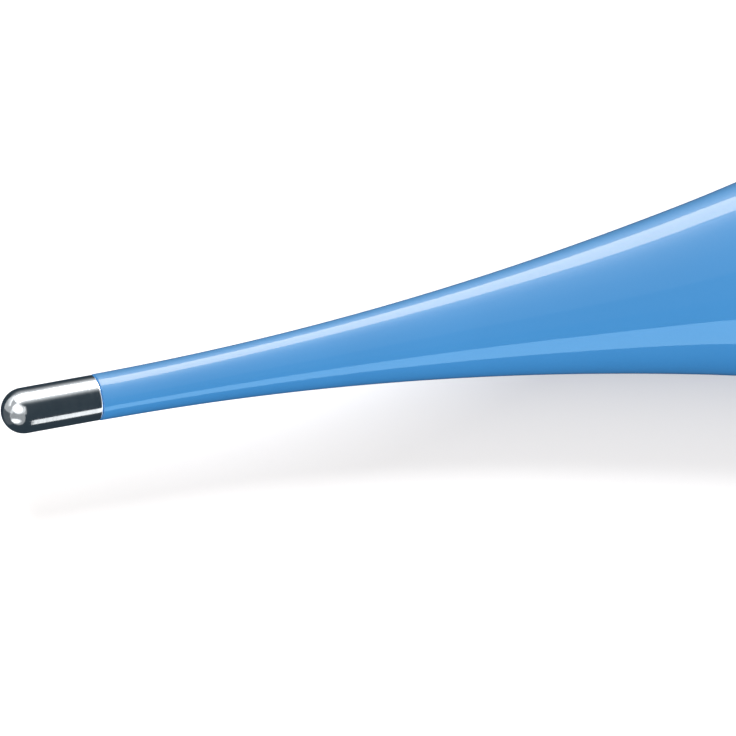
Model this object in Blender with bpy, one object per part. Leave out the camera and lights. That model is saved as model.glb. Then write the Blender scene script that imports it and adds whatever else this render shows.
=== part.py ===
"""Digital stick thermometer, lying on its back.

A glossy one-piece blue shell runs from a slim round neck, with a drawn metal cap on its end, to a wide flat
body with a display window and a power button. The electronics ride on a tray that slides out of the shell's
tail, and a battery cover plugs over the tray's battery bay.

Frame, in metres: +X from the sensor tip to the tail, +Y across the wide face, +Z out of the face with the
display. The origin is at the bottom centre of the bounding box, so the surface it lies on is z = 0.
A "station" is a distance along the long axis from the sensor tip's end.
"""

import math

import bmesh
import bpy
from mathutils import Matrix, Vector

# Overall size
LENGTH = 0.138
AXIS_HEIGHT = 0.0059
CLEARANCE = 0.0001
SLIDE_CLEARANCE = 0.0002

# Sensor tip: a deep-drawn cap on the shell's spigot
CAP_RADIUS = 0.0020
CAP_WALL = 0.0002
CAP_LENGTH = 0.0086
SPIGOT_RADIUS = 0.00172
SPIGOT_START = 0.0058
COLLAR_START = CAP_LENGTH + 0.00006
BEAD_RADIUS = 0.0007
BEAD_START = 0.0024
BEAD_END = 0.0044
POTTING_END = 0.0056
LEAD_RADIUS = 0.0003

# Shell outline: concave arc out of the neck, convex arc into the body, rounded tail
NECK_RADIUS = 0.00204
BODY_HALF_WIDTH = 0.0115
BODY_HALF_THICKNESS = 0.00605
WIDTH_FLARE = {"start": 0.0078, "radius": 0.273, "turn": 0.070}
THICKNESS_FLARE = {"start": 0.014, "radius": 0.388, "turn": 0.052}
TAIL_POLE = LENGTH + 0.00003
TAIL_WIDTH_START = 0.112
TAIL_THICKNESS_START = 0.118
TAIL_EXPONENT = 3.2
BODY_EXPONENT = 2.6
SQUARING_START = 0.064
SQUARING_END = 0.0835
SECTION_POINTS = 36
SEAM = 0.121

# Hollow of the shell
WALL = 0.0013
CHANNEL_RADIUS = 0.0010
CAVITY_HALF_WIDTH = 0.0101
CAVITY_HALF_HEIGHT = 0.0045
CEILING = AXIS_HEIGHT + CAVITY_HALF_HEIGHT

# Display window, in a recess with a ledge round a through-opening
WINDOW_CENTRE = 0.0945
WINDOW_HALF_LENGTH = 0.0115
WINDOW_HALF_WIDTH = 0.0056
WINDOW_CORNER = 0.0032
WINDOW_LEDGE = 0.0014
RECESS_FLOOR = CEILING + 0.00045
GASKET_THICKNESS = 0.0001
WINDOW_SINK = 0.00003

# Power button: a stadium-shaped cap with a flange that holds it in the shell
BUTTON_CENTRE = 0.112
BUTTON_HALF_LENGTH = 0.0038
BUTTON_HALF_WIDTH = 0.0026
BUTTON_TOP = 0.01225
BUTTON_FLANGE = 0.0006
BUTTON_BOTTOM = CEILING - 0.00005
BUTTON_FLANGE_TOP = CEILING + 0.00038
BUTTON_POCKET_TOP = CEILING + 0.00045
SEAL_GROOVE = 0.00055
SEAL_GROOVE_TOP = BUTTON_POCKET_TOP + 0.0005

# Tray and circuit board
TRAY_START = 0.0834
TRAY_END = 0.116
TRAY_HALF_WIDTH = 0.0096
TRAY_HALF_HEIGHT = CAVITY_HALF_HEIGHT - SLIDE_CLEARANCE
TRAY_SIDE_WALL = 0.0010
TRAY_FLOOR = 0.0008
BULKHEAD = 0.0009
STACK_GAP = 0.00002
STAKE_RADIUS = 0.0006
STAKE_STATIONS = (0.088, 0.103)
STAKE_SIDE = 0.0078
STAKE_BOTTOM = 0.0042
STAKE_HEAD = 0.0003
BOARD_BOTTOM = AXIS_HEIGHT + 0.00005
BOARD_THICKNESS = 0.0008
BOARD_TOP = BOARD_BOTTOM + BOARD_THICKNESS
BOARD_HALF_WIDTH = 0.0093
BOARD_TONGUE_HALF_WIDTH = 0.0040
BOARD_TONGUE_END = 0.122
ON_BOARD = BOARD_TOP + 0.00003
UNDER_BOARD = BOARD_BOTTOM - 0.00003

# Wires, by hand: (station, distance from the middle plane, height)
LEAD_ROUTE = (
    (0.0046, 0.00042, AXIS_HEIGHT),
    (0.020, 0.00045, AXIS_HEIGHT),
    (0.045, 0.00050, AXIS_HEIGHT),
    (0.062, 0.00110, AXIS_HEIGHT - 0.0009),
    (0.075, 0.00190, AXIS_HEIGHT - 0.0014),
    (0.083, 0.00200, UNDER_BOARD - 0.0007),
    (0.0865, 0.00200, UNDER_BOARD - LEAD_RADIUS - STACK_GAP),
)

# Controller under its epoxy dome, as (height, radius), and the small parts under the board
EPOXY_DOME = ((0.0, 0.0), (0.0, 0.0030), (0.0004, 0.0028), (0.0009, 0.0018), (0.0011, 0.0))
CHIP_HALF_LENGTH = 0.0008
CHIP_HALF_WIDTH = 0.0004
SMALL_PARTS = (
    # name, station, side, height, look
    ("reference_resistor", 0.1095, 0.0034, 0.0005, "ceramic_black"),
    ("filter_capacitor", 0.1095, -0.0034, 0.0008, "ceramic_tan"),
    ("supply_capacitor", 0.1130, -0.0034, 0.0008, "ceramic_tan"),
)

# Display stack, from the board up
LCD_HALF_LENGTH = 0.0106
LCD_HALF_WIDTH = 0.0053
ZEBRA_HEIGHT = 0.0016
POLARISER = 0.00015
LCD_GLASS = 0.0011
POLARISER_INSET = 0.0012
ZEBRA_WIDTH = 0.0011
ZEBRA_INSET = 0.0006
FRAME_WALL = 0.0006

# Switch under the button
SWITCH_HALF = 0.00225
SWITCH_TOP = 0.0096
PLUNGER_RADIUS = 0.0010
PLUNGER_BOTTOM = 0.0090
PLUNGER_TOP = CEILING - 0.00015
PLUNGER_WELL_BOTTOM = 0.0085
PLUNGER_WELL_RADIUS = 0.00115

# Buzzer on the tray floor
BUZZER_CENTRE = 0.097
BUZZER_RADIUS = 0.0060
BUZZER_BOTTOM = 0.0034
BUZZER_SEAT_RADIUS = BUZZER_RADIUS + 0.0002
BUZZER_SEAT_BOTTOM = 0.0023
BUZZER_WELL_RADIUS = BUZZER_RADIUS - 0.0008
BUZZER_WELL_BOTTOM = 0.0026
BUZZER_PLATE = 0.0002
CERAMIC_RADIUS = 0.0042
CERAMIC_THICKNESS = 0.0002
SPRING_RADIUS = 0.00055
SPRING_WIRE = 0.00011
SPRING_TURNS = 5

# Battery bay at the tray's end, for a standard 7.9 by 3.6 mm button cell
CELL_CENTRE = 0.1275
CELL_RADIUS = 0.00395
CELL_HEIGHT = 0.0036
CELL_BOTTOM = 0.0042
CELL_CAP_RADIUS = 0.0032
CELL_CAP_HEIGHT = 0.0003
CUP_FLOOR_TOP = 0.00395
CUP_BOTTOM = 0.00315
CUP_TOP = 0.0069
CUP_BORE = CELL_RADIUS + 0.00015
CUP_RADIUS = CUP_BORE + 0.0009
DECK_HALF_WIDTH = 0.0046
CONTACT_THICKNESS = 0.00015
CONTACT_WIDTH = 0.0024
CONTACT_BEND = 0.0003
CONTACT_SLOT_TOP = 0.0058
NEGATIVE_STATIONS = (0.1187, 0.1213, 0.1219, 0.1219, 0.1225, CELL_CENTRE + 0.0020)
POSITIVE_STATIONS = (0.1182, 0.1206, 0.1212, 0.1216, 0.1222, CELL_CENTRE + 0.0015)

# Battery cover: a rounded tail with a spigot and an O-ring that plug into the shell
COVER_START = SEAM + 0.00006
COVER_SPIGOT_START = 0.1168
SPIGOT_HALF_WIDTH = CAVITY_HALF_WIDTH - SLIDE_CLEARANCE
SPIGOT_HALF_HEIGHT = CAVITY_HALF_HEIGHT - SLIDE_CLEARANCE
COVER_HOLLOW_HALF_WIDTH = 0.0085
COVER_HOLLOW_HALF_HEIGHT = 0.0031
COVER_HOLLOW_NARROWS = 0.1332
COVER_HOLLOW_END = 0.1350
RING_GROOVE = (0.1182, 0.1192)
RING_GROOVE_DEPTH = 0.00055
RING_THICKNESS = 0.00058
RIB_STATIONS = (0.1255, 0.1277, 0.1299)
RIB_HALF_LENGTH = 0.0034
RIB_RADIUS = 0.0005
RIB_RISE = 0.00022


def x_at(station):
    """World x of a distance from the tip's end."""
    return station - LENGTH / 2


def clear_scene():
    for thing in list(bpy.data.objects):
        bpy.data.objects.remove(thing)


def material(name, colour, roughness, metallic=0.0, clearness=0.0):
    made = bpy.data.materials.new(name)
    made.use_nodes = True
    shader = made.node_tree.nodes["Principled BSDF"]
    shader.inputs["Base Color"].default_value = (*colour, 1.0)
    shader.inputs["Roughness"].default_value = roughness
    shader.inputs["Metallic"].default_value = metallic
    shader.inputs["Transmission Weight"].default_value = clearness
    made.diffuse_color = (*colour, 1.0)
    return made


def joint_empty(name, location, parent=None):
    """An empty on a joint's axis, given in world coordinates, that the joint's pieces hang from."""
    empty = bpy.data.objects.new(name, None)
    bpy.context.collection.objects.link(empty)
    empty.parent = parent
    empty.location = location - (Vector(parent["at"]) if parent else Vector((0, 0, 0)))
    empty["at"] = location
    return empty


def add_piece(name, shape, look, joint):
    """Turns a bmesh in world coordinates into an object whose origin is on its joint's empty."""
    at = Vector(joint["at"])
    bmesh.ops.recalc_face_normals(shape, faces=shape.faces[:])
    bmesh.ops.translate(shape, verts=shape.verts[:], vec=-at)
    mesh = bpy.data.meshes.new(name)
    shape.to_mesh(mesh)
    shape.free()
    mesh.materials.append(look)
    mesh.shade_smooth()
    mesh.set_sharp_from_angle(angle=math.radians(35))
    piece = bpy.data.objects.new(name, mesh)
    piece.parent = joint
    bpy.context.collection.objects.link(piece)
    return piece


def combine(piece, shape, operation):
    """Adds an exact Boolean to a piece, with a hidden object of its own."""
    bmesh.ops.recalc_face_normals(shape, faces=shape.faces[:])
    name = f"{piece.name}_{operation.lower()}_{len(piece.modifiers) + 1}"
    mesh = bpy.data.meshes.new(name)
    shape.to_mesh(mesh)
    shape.free()
    tool = bpy.data.objects.new(name, mesh)
    tool.hide_render = True
    tool.display_type = "WIRE"
    bpy.context.collection.objects.link(tool)
    modifier = piece.modifiers.new(name, "BOOLEAN")
    modifier.operation = operation
    modifier.solver = "EXACT"
    modifier.object = tool


# Outlines and sections


def flare(station, base, full, start, radius, turn):
    """A size that leaves the base along a concave arc, turns, and comes level at the full size."""
    if station <= start:
        return base
    if station <= turn:
        return base + (station - start) ** 2 / (2 * radius)
    slope = (turn - start) / radius
    rise = full - base - (turn - start) ** 2 / (2 * radius)
    run = 2 * rise / slope
    left = max(0.0, turn + run - station)
    return full - slope * left**2 / (2 * run)


def tail_share(station, start):
    """1 up to the start, then falling to nothing at the tail's pole along a superellipse."""
    past = max(0.0, station - start) / (TAIL_POLE - start)
    return (1 - past**TAIL_EXPONENT) ** (1 / TAIL_EXPONENT)


def half_width(station):
    grown = flare(station, NECK_RADIUS, BODY_HALF_WIDTH, **WIDTH_FLARE)
    return grown * tail_share(station, TAIL_WIDTH_START)


def half_thickness(station):
    grown = flare(station, NECK_RADIUS, BODY_HALF_THICKNESS, **THICKNESS_FLARE)
    return grown * tail_share(station, TAIL_THICKNESS_START)


def exponent(station):
    """Sections are ellipses along the neck and grow squarer towards the body."""
    share = (station - SQUARING_START) / (SQUARING_END - SQUARING_START)
    share = min(1.0, max(0.0, share))
    return 2 + (BODY_EXPONENT - 2) * share * share * (3 - 2 * share)


def section(station, half_y, half_z, power=2.0, count=SECTION_POINTS):
    """Points round a superellipse across the long axis, flattened where it would sink below z = 0."""
    points = []
    for index in range(count):
        angle = 2 * math.pi * index / count
        across = math.cos(angle)
        up = math.sin(angle)
        y = half_y * math.copysign(abs(across) ** (2 / power), across)
        z = AXIS_HEIGHT + half_z * math.copysign(abs(up) ** (2 / power), up)
        points.append((x_at(station), y, max(0.0, z)))
    return points


def body_section(station, shrink=0.0):
    return section(
        station, half_width(station) - shrink, half_thickness(station) - shrink, exponent(station)
    )


def evenly(start, end, steps):
    return [start + (end - start) * index / steps for index in range(steps + 1)]


def rounded_outline(centre, half_length, half_side, corner, steps=6):
    """Points (x, y) round a rectangle with round corners, anticlockwise from above."""
    points = []
    for turn, (side_x, side_y) in enumerate(((1, 1), (-1, 1), (-1, -1), (1, -1))):
        for index in range(steps + 1):
            angle = math.pi / 2 * (turn + index / steps)
            x = side_x * (half_length - corner) + corner * math.cos(angle)
            y = side_y * (half_side - corner) + corner * math.sin(angle)
            points.append((x_at(centre) + x, y))
    return points


def window_outline(inset):
    return rounded_outline(
        WINDOW_CENTRE,
        WINDOW_HALF_LENGTH - inset,
        WINDOW_HALF_WIDTH - inset,
        WINDOW_CORNER - inset,
    )


def button_outline(grow):
    """A stadium: two half circles joined by straight sides."""
    radius = BUTTON_HALF_WIDTH + grow
    # The corner is a hair under the full radius, so that no two points fall together.
    return rounded_outline(BUTTON_CENTRE, BUTTON_HALF_LENGTH + grow, radius, radius * 0.999)


# Solid shapes


def skin(shape, near, far):
    """Quads between two rings of vertices in the same order."""
    for index in range(len(near)):
        shape.faces.new((near[index - 1], near[index], far[index], far[index - 1]))


def loft(sections):
    """A closed skin through sections, with a flat face at each end."""
    shape = bmesh.new()
    rings = [[shape.verts.new(point) for point in points] for points in sections]
    for near, far in zip(rings, rings[1:]):
        skin(shape, near, far)
    shape.faces.new(rings[0])
    shape.faces.new(rings[-1])
    return shape


def turned(profile, axis, centre, steps):
    """A profile of (distance along the axis, radius) spun round an axis through a point."""
    shape = bmesh.new()
    if axis == "X":
        side = Vector((0, 1, 0))
        ahead = Vector((1, 0, 0))
    else:
        side = Vector((1, 0, 0))
        ahead = Vector((0, 0, 1))
    ring = [shape.verts.new(centre + ahead * along + side * radius) for along, radius in profile]
    edges = [shape.edges.new(pair) for pair in zip(ring, ring[1:])]
    closed = profile[0][1] > 0 and profile[-1][1] > 0
    if closed:
        edges.append(shape.edges.new((ring[-1], ring[0])))
    bmesh.ops.spin(
        shape, geom=ring + edges, cent=centre, axis=ahead, angle=2 * math.pi, steps=steps, use_merge=True
    )
    bmesh.ops.remove_doubles(shape, verts=shape.verts[:], dist=1e-7)
    return shape


def prism(outline, low, high):
    """An outline in the XY plane extruded between two heights."""
    shape = bmesh.new()
    base = shape.faces.new([shape.verts.new((x, y, low)) for x, y in outline])
    made = bmesh.ops.extrude_face_region(shape, geom=[base])["geom"]
    top = [item for item in made if isinstance(item, bmesh.types.BMVert)]
    bmesh.ops.translate(shape, verts=top, vec=(0, 0, high - low))
    return shape


def extruded_along_x(outline, start, end):
    """An outline of (y, z) points extruded between two stations."""
    shape = bmesh.new()
    base = shape.faces.new([shape.verts.new((x_at(start), y, z)) for y, z in outline])
    made = bmesh.ops.extrude_face_region(shape, geom=[base])["geom"]
    far = [item for item in made if isinstance(item, bmesh.types.BMVert)]
    bmesh.ops.translate(shape, verts=far, vec=(end - start, 0, 0))
    return shape


def box(stations, sides, heights):
    """A box between two stations, two y values and two heights."""
    low = Vector((x_at(stations[0]), sides[0], heights[0]))
    high = Vector((x_at(stations[1]), sides[1], heights[1]))
    shape = bmesh.new()
    size = Matrix.Diagonal((*(high - low), 1.0))
    bmesh.ops.create_cube(shape, size=1.0, matrix=Matrix.Translation((low + high) / 2) @ size)
    return shape


def cylinder(station, side, radius, low, high, segments=24):
    shape = bmesh.new()
    bmesh.ops.create_cone(
        shape,
        cap_ends=True,
        segments=segments,
        radius1=radius,
        radius2=radius,
        depth=high - low,
        matrix=Matrix.Translation((x_at(station), side, (low + high) / 2)),
    )
    return shape


def bent_strip(path, thickness, width):
    """A flat strip of metal bent along a path of (station, height) points, its width along Y."""
    points = [Vector((x_at(station), 0, height)) for station, height in path]
    upper = []
    lower = []
    for index, point in enumerate(points):
        before = points[max(0, index - 1)]
        after = points[min(len(points) - 1, index + 1)]
        ahead = (after - before).normalized()
        normal = Vector((-ahead.z, 0, ahead.x))
        upper.append(point + normal * thickness / 2)
        lower.append(point - normal * thickness / 2)
    shape = bmesh.new()
    corners = [shape.verts.new(point - Vector((0, width / 2, 0))) for point in upper + lower[::-1]]
    made = bmesh.ops.extrude_face_region(shape, geom=[shape.faces.new(corners)])["geom"]
    far = [item for item in made if isinstance(item, bmesh.types.BMVert)]
    bmesh.ops.translate(shape, verts=far, vec=(0, width, 0))
    return shape


def ring_round(centre_station, inner, outer, half_length, power, sides=8):
    """A seal ring swept round a superellipse; inner and outer are (half width, half height) pairs."""
    shape = bmesh.new()
    rings = []
    for turn in range(sides):
        angle = 2 * math.pi * turn / sides
        share = (1 + math.cos(angle)) / 2
        half_y = inner[0] + (outer[0] - inner[0]) * share
        half_z = inner[1] + (outer[1] - inner[1]) * share
        points = section(centre_station + half_length * math.sin(angle), half_y, half_z, power)
        rings.append([shape.verts.new(point) for point in points])
    for near, far in zip(rings, rings[1:] + rings[:1]):
        skin(shape, near, far)
    return shape


def tube(name, points, radius, look, joint, sides_resolution=1):
    """A wire along points, as a bevelled curve with filled ends."""
    at = Vector(joint["at"])
    curve = bpy.data.curves.new(name, "CURVE")
    curve.dimensions = "3D"
    curve.bevel_depth = radius
    curve.bevel_resolution = sides_resolution
    curve.use_fill_caps = True
    line = curve.splines.new("POLY")
    line.points.add(len(points) - 1)
    for target, point in zip(line.points, points):
        target.co = (*(Vector(point) - at), 1.0)
    curve.materials.append(look)
    wire = bpy.data.objects.new(name, curve)
    wire.parent = joint
    bpy.context.collection.objects.link(wire)
    return wire


def smooth_path(points, steps):
    """A Catmull-Rom curve through the points."""
    ends = [points[0]] + list(points) + [points[-1]]
    ends = [Vector(point) for point in ends]
    path = []
    for p0, p1, p2, p3 in zip(ends, ends[1:], ends[2:], ends[3:]):
        for index in range(steps):
            t = index / steps
            path.append(
                0.5
                * (
                    2 * p1
                    + (p2 - p0) * t
                    + (2 * p0 - 5 * p1 + 4 * p2 - p3) * t**2
                    + (3 * p1 - 3 * p2 + p3 - p0) * t**3
                )
            )
    path.append(ends[-1])
    return path


# Shell and sensor tip


def make_shell(looks, root):
    spigot = [section(s, SPIGOT_RADIUS, SPIGOT_RADIUS) for s in (SPIGOT_START, COLLAR_START)]
    outside = [body_section(s) for s in evenly(COLLAR_START, SEAM, 32)]
    shell = add_piece("body_shell", loft(spigot + outside), looks["blue"], root)
    combine(shell, shell_hollow(), "DIFFERENCE")
    above = BUTTON_TOP + WALL
    combine(shell, prism(window_outline(-CLEARANCE), RECESS_FLOOR, above), "DIFFERENCE")
    combine(shell, prism(window_outline(WINDOW_LEDGE), CEILING - WALL, above), "DIFFERENCE")
    combine(shell, prism(button_outline(CLEARANCE), CEILING - WALL, above), "DIFFERENCE")
    pocket = button_outline(BUTTON_FLANGE + CLEARANCE)
    combine(shell, prism(pocket, CEILING - WALL, BUTTON_POCKET_TOP), "DIFFERENCE")
    groove = button_outline(SEAL_GROOVE)
    combine(shell, prism(groove, BUTTON_POCKET_TOP - WALL / 4, SEAL_GROOVE_TOP), "DIFFERENCE")


def shell_hollow():
    """The wire channel of the neck, opening smoothly into a body cavity of constant section."""
    sections = []
    for station in evenly(SPIGOT_START - CLEARANCE, SEAM + WALL, 26):
        across = min(CAVITY_HALF_WIDTH, max(CHANNEL_RADIUS, flared_inside(station, "width")))
        up = min(CAVITY_HALF_HEIGHT, max(CHANNEL_RADIUS, flared_inside(station, "height")))
        sections.append(section(station, across, up, exponent(station)))
    return loft(sections)


def flared_inside(station, direction):
    """The shell's outside less its wall, left alone past the start of the constant cavity."""
    near = min(station, WINDOW_CENTRE)
    outside = half_width(near) if direction == "width" else half_thickness(near)
    return outside - WALL


def make_tip(looks, root):
    inner = CAP_RADIUS - CAP_WALL
    quarter = evenly(0.0, math.pi / 2, 6)
    outer_dome = [(CAP_RADIUS * (1 - math.cos(a)), CAP_RADIUS * math.sin(a)) for a in quarter]
    inner_dome = [(CAP_RADIUS - inner * math.cos(a), inner * math.sin(a)) for a in quarter]
    profile = outer_dome + [(CAP_LENGTH, CAP_RADIUS), (CAP_LENGTH, inner)] + inner_dome[::-1]
    axis_start = Vector((x_at(0), 0, AXIS_HEIGHT))
    add_piece("metal_tip_cap", turned(profile, "X", axis_start, 32), looks["steel"], root)

    plug = inner - CLEARANCE / 2
    nose = [(CAP_RADIUS - plug * math.cos(a), plug * math.sin(a)) for a in quarter]
    well = BEAD_RADIUS + 2 * CLEARANCE
    bottom = BEAD_START - 2 * CLEARANCE
    plug_end = [(POTTING_END, plug), (POTTING_END, well), (bottom, well), (bottom, 0.0)]
    add_piece("tip_potting", turned(nose + plug_end, "X", axis_start, 20), looks["potting"], root)

    bead = [
        (BEAD_START, 0.0),
        (BEAD_START + BEAD_RADIUS * 0.4, BEAD_RADIUS * 0.8),
        (BEAD_START + BEAD_RADIUS, BEAD_RADIUS),
        (BEAD_END - BEAD_RADIUS, BEAD_RADIUS),
        (BEAD_END - BEAD_RADIUS * 0.4, BEAD_RADIUS * 0.8),
        (BEAD_END, 0.0),
    ]
    add_piece("thermistor_bead", turned(bead, "X", axis_start, 14), looks["bead"], root)


def make_leads(looks, tray):
    """Two wires from the bead, side by side through the neck, spreading to pads under the board."""
    for name, side in (("sensor_lead_left", 1), ("sensor_lead_right", -1)):
        route = [(x_at(station), side * out, height) for station, out, height in LEAD_ROUTE]
        tube(name, smooth_path(route, 5), LEAD_RADIUS, looks["wire"], tray)


# Window and button


def make_window(looks, root):
    """The lens's top follows the shell's surface, a hair below it; a thin gasket lies under its rim."""
    lens_bottom = RECESS_FLOOR + GASKET_THICKNESS + 2 * WINDOW_SINK
    start = WINDOW_CENTRE - WINDOW_HALF_LENGTH - WALL
    end = WINDOW_CENTRE + WINDOW_HALF_LENGTH + WALL
    follow = loft([body_section(s, WINDOW_SINK) for s in evenly(start, end, 7)])
    lens = prism(window_outline(0.0), lens_bottom, BUTTON_TOP + WALL)
    window = add_piece("display_window", lens, looks["clear"], root)
    combine(window, follow, "INTERSECT")

    gasket_bottom = RECESS_FLOOR + WINDOW_SINK
    ring = prism(window_outline(CLEARANCE), gasket_bottom, gasket_bottom + GASKET_THICKNESS)
    gasket = add_piece("window_gasket", ring, looks["black"], root)
    opening = window_outline(WINDOW_LEDGE - 2 * CLEARANCE)
    combine(gasket, prism(opening, gasket_bottom - WALL, gasket_bottom + WALL), "DIFFERENCE")


def make_button(looks, root, button_joint):
    cap = prism(button_outline(0.0), BUTTON_BOTTOM, BUTTON_TOP)
    rim = [edge for edge in cap.edges if all(v.co.z > BUTTON_TOP - 1e-6 for v in edge.verts)]
    bmesh.ops.bevel(cap, geom=rim, offset=0.0003, segments=2, affect="EDGES", profile=0.5)
    button = add_piece("power_button", cap, looks["button"], button_joint)
    flange = prism(button_outline(BUTTON_FLANGE), BUTTON_BOTTOM, BUTTON_FLANGE_TOP)
    combine(button, flange, "UNION")

    bottom = BUTTON_POCKET_TOP + CLEARANCE
    top = SEAL_GROOVE_TOP - CLEARANCE / 2
    ring = prism(button_outline(SEAL_GROOVE - CLEARANCE / 2), bottom, top)
    seal = add_piece("button_seal", ring, looks["rubber"], root)
    bore = prism(button_outline(CLEARANCE), bottom - WALL, top + WALL)
    combine(seal, bore, "DIFFERENCE")


# Tray, board and what they carry


def half_ellipse(half_y, half_z, count=14):
    """The lower half of a body-shaped superellipse, from -Y to +Y, as (y, z) points."""
    points = []
    for index in range(count + 1):
        angle = math.pi + math.pi * index / count
        across = math.cos(angle)
        down = math.sin(angle)
        y = half_y * math.copysign(abs(across) ** (2 / BODY_EXPONENT), across)
        z = AXIS_HEIGHT - half_z * abs(down) ** (2 / BODY_EXPONENT)
        points.append((y, z))
    return points


def make_tray(looks, joint):
    """A trough under the board, a bulkhead, and a deck that carries the battery cup."""
    outside = half_ellipse(TRAY_HALF_WIDTH, TRAY_HALF_HEIGHT)
    inside = half_ellipse(TRAY_HALF_WIDTH - TRAY_SIDE_WALL, TRAY_HALF_HEIGHT - TRAY_FLOOR)
    trough = extruded_along_x(outside + inside[::-1], TRAY_START, TRAY_END)
    tray = add_piece("electronics_tray", trough, looks["white"], joint)
    combine(tray, extruded_along_x(outside, TRAY_END - BULKHEAD, TRAY_END + CLEARANCE), "UNION")
    deck_ends = (TRAY_END - BULKHEAD / 2, CELL_CENTRE - CUP_BORE)
    deck = box(deck_ends, (-DECK_HALF_WIDTH, DECK_HALF_WIDTH), (CUP_BOTTOM, CUP_FLOOR_TOP))
    combine(tray, deck, "UNION")
    combine(tray, cylinder(CELL_CENTRE, 0, CUP_RADIUS, CUP_BOTTOM, CUP_TOP, 36), "UNION")
    combine(tray, cylinder(CELL_CENTRE, 0, CUP_BORE, CUP_FLOOR_TOP, CUP_TOP + WALL, 36), "DIFFERENCE")
    slot_half = CONTACT_WIDTH / 2 + 2 * CLEARANCE
    slot_ends = (CELL_CENTRE - CUP_RADIUS - WALL, CELL_CENTRE)
    slot = box(slot_ends, (-slot_half, slot_half), (CUP_FLOOR_TOP, CONTACT_SLOT_TOP))
    combine(tray, slot, "DIFFERENCE")
    seat_top = BUZZER_BOTTOM - CLEARANCE / 2
    seat = cylinder(BUZZER_CENTRE, 0, BUZZER_SEAT_RADIUS, BUZZER_SEAT_BOTTOM, seat_top, 28)
    combine(tray, seat, "UNION")
    well = cylinder(BUZZER_CENTRE, 0, BUZZER_WELL_RADIUS, BUZZER_WELL_BOTTOM, seat_top + WALL, 28)
    combine(tray, well, "DIFFERENCE")
    for station in STAKE_STATIONS:
        for side in (-STAKE_SIDE, STAKE_SIDE):
            stake = cylinder(station, side, STAKE_RADIUS, STAKE_BOTTOM, BOARD_TOP + STAKE_HEAD, 10)
            combine(tray, stake, "UNION")


def make_board(looks, joint):
    start = TRAY_START + 0.0002
    end = TRAY_END + 0.0002
    outline = [
        (x_at(start), -BOARD_HALF_WIDTH),
        (x_at(end), -BOARD_HALF_WIDTH),
        (x_at(end), -BOARD_TONGUE_HALF_WIDTH),
        (x_at(BOARD_TONGUE_END), -BOARD_TONGUE_HALF_WIDTH),
        (x_at(BOARD_TONGUE_END), BOARD_TONGUE_HALF_WIDTH),
        (x_at(end), BOARD_TONGUE_HALF_WIDTH),
        (x_at(end), BOARD_HALF_WIDTH),
        (x_at(start), BOARD_HALF_WIDTH),
    ]
    board = add_piece("circuit_board", prism(outline, BOARD_BOTTOM, BOARD_TOP), looks["board"], joint)
    for station in STAKE_STATIONS:
        for side in (-STAKE_SIDE, STAKE_SIDE):
            radius = STAKE_RADIUS + CLEARANCE
            hole = cylinder(station, side, radius, BOARD_BOTTOM - WALL, BOARD_TOP + WALL, 10)
            combine(board, hole, "DIFFERENCE")


def make_display(looks, joint):
    start = WINDOW_CENTRE - LCD_HALF_LENGTH
    end = WINDOW_CENTRE + LCD_HALF_LENGTH
    level = ON_BOARD + ZEBRA_HEIGHT
    layers = (
        ("lcd_rear_polariser", POLARISER, POLARISER_INSET, "reflector"),
        ("lcd_glass", LCD_GLASS, 0.0, "lcd"),
        ("lcd_front_polariser", POLARISER, POLARISER_INSET, "polariser"),
    )
    for name, thickness, inset, look in layers:
        bottom = level + STACK_GAP
        level = bottom + thickness
        sides = (-LCD_HALF_WIDTH + inset, LCD_HALF_WIDTH - inset)
        layer = box((start + inset, end - inset), sides, (bottom, level))
        add_piece(name, layer, looks[look], joint)

    outer_half = LCD_HALF_WIDTH + CLEARANCE + FRAME_WALL
    frame_ends = (start - CLEARANCE - FRAME_WALL, end + CLEARANCE + FRAME_WALL)
    frame_top = level - POLARISER
    surround = box(frame_ends, (-outer_half, outer_half), (ON_BOARD, frame_top))
    frame = add_piece("lcd_frame", surround, looks["white"], joint)
    inner_half = LCD_HALF_WIDTH + CLEARANCE
    inner_ends = (start - CLEARANCE, end + CLEARANCE)
    hole = box(inner_ends, (-inner_half, inner_half), (ON_BOARD - WALL, frame_top + WALL))
    combine(frame, hole, "DIFFERENCE")

    for name, side in (("zebra_strip_left", 1), ("zebra_strip_right", -1)):
        far = side * (LCD_HALF_WIDTH - CLEARANCE)
        near = far - side * ZEBRA_WIDTH
        sides = (min(near, far), max(near, far))
        strip = box((start + ZEBRA_INSET, end - ZEBRA_INSET), sides, (ON_BOARD, ON_BOARD + ZEBRA_HEIGHT))
        add_piece(name, strip, looks["zebra"], joint)


def make_board_parts(looks, joint):
    """The controller under its epoxy dome, and the small parts under the board."""
    centre = Vector((x_at(WINDOW_CENTRE), 0, ON_BOARD))
    add_piece("controller_chip", turned(EPOXY_DOME, "Z", centre, 20), looks["epoxy"], joint)
    for name, station, side, height, look in SMALL_PARTS:
        stations = (station - CHIP_HALF_LENGTH, station + CHIP_HALF_LENGTH)
        sides = (side - CHIP_HALF_WIDTH, side + CHIP_HALF_WIDTH)
        chip = box(stations, sides, (UNDER_BOARD - height, UNDER_BOARD))
        add_piece(name, chip, looks[look], joint)


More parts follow.
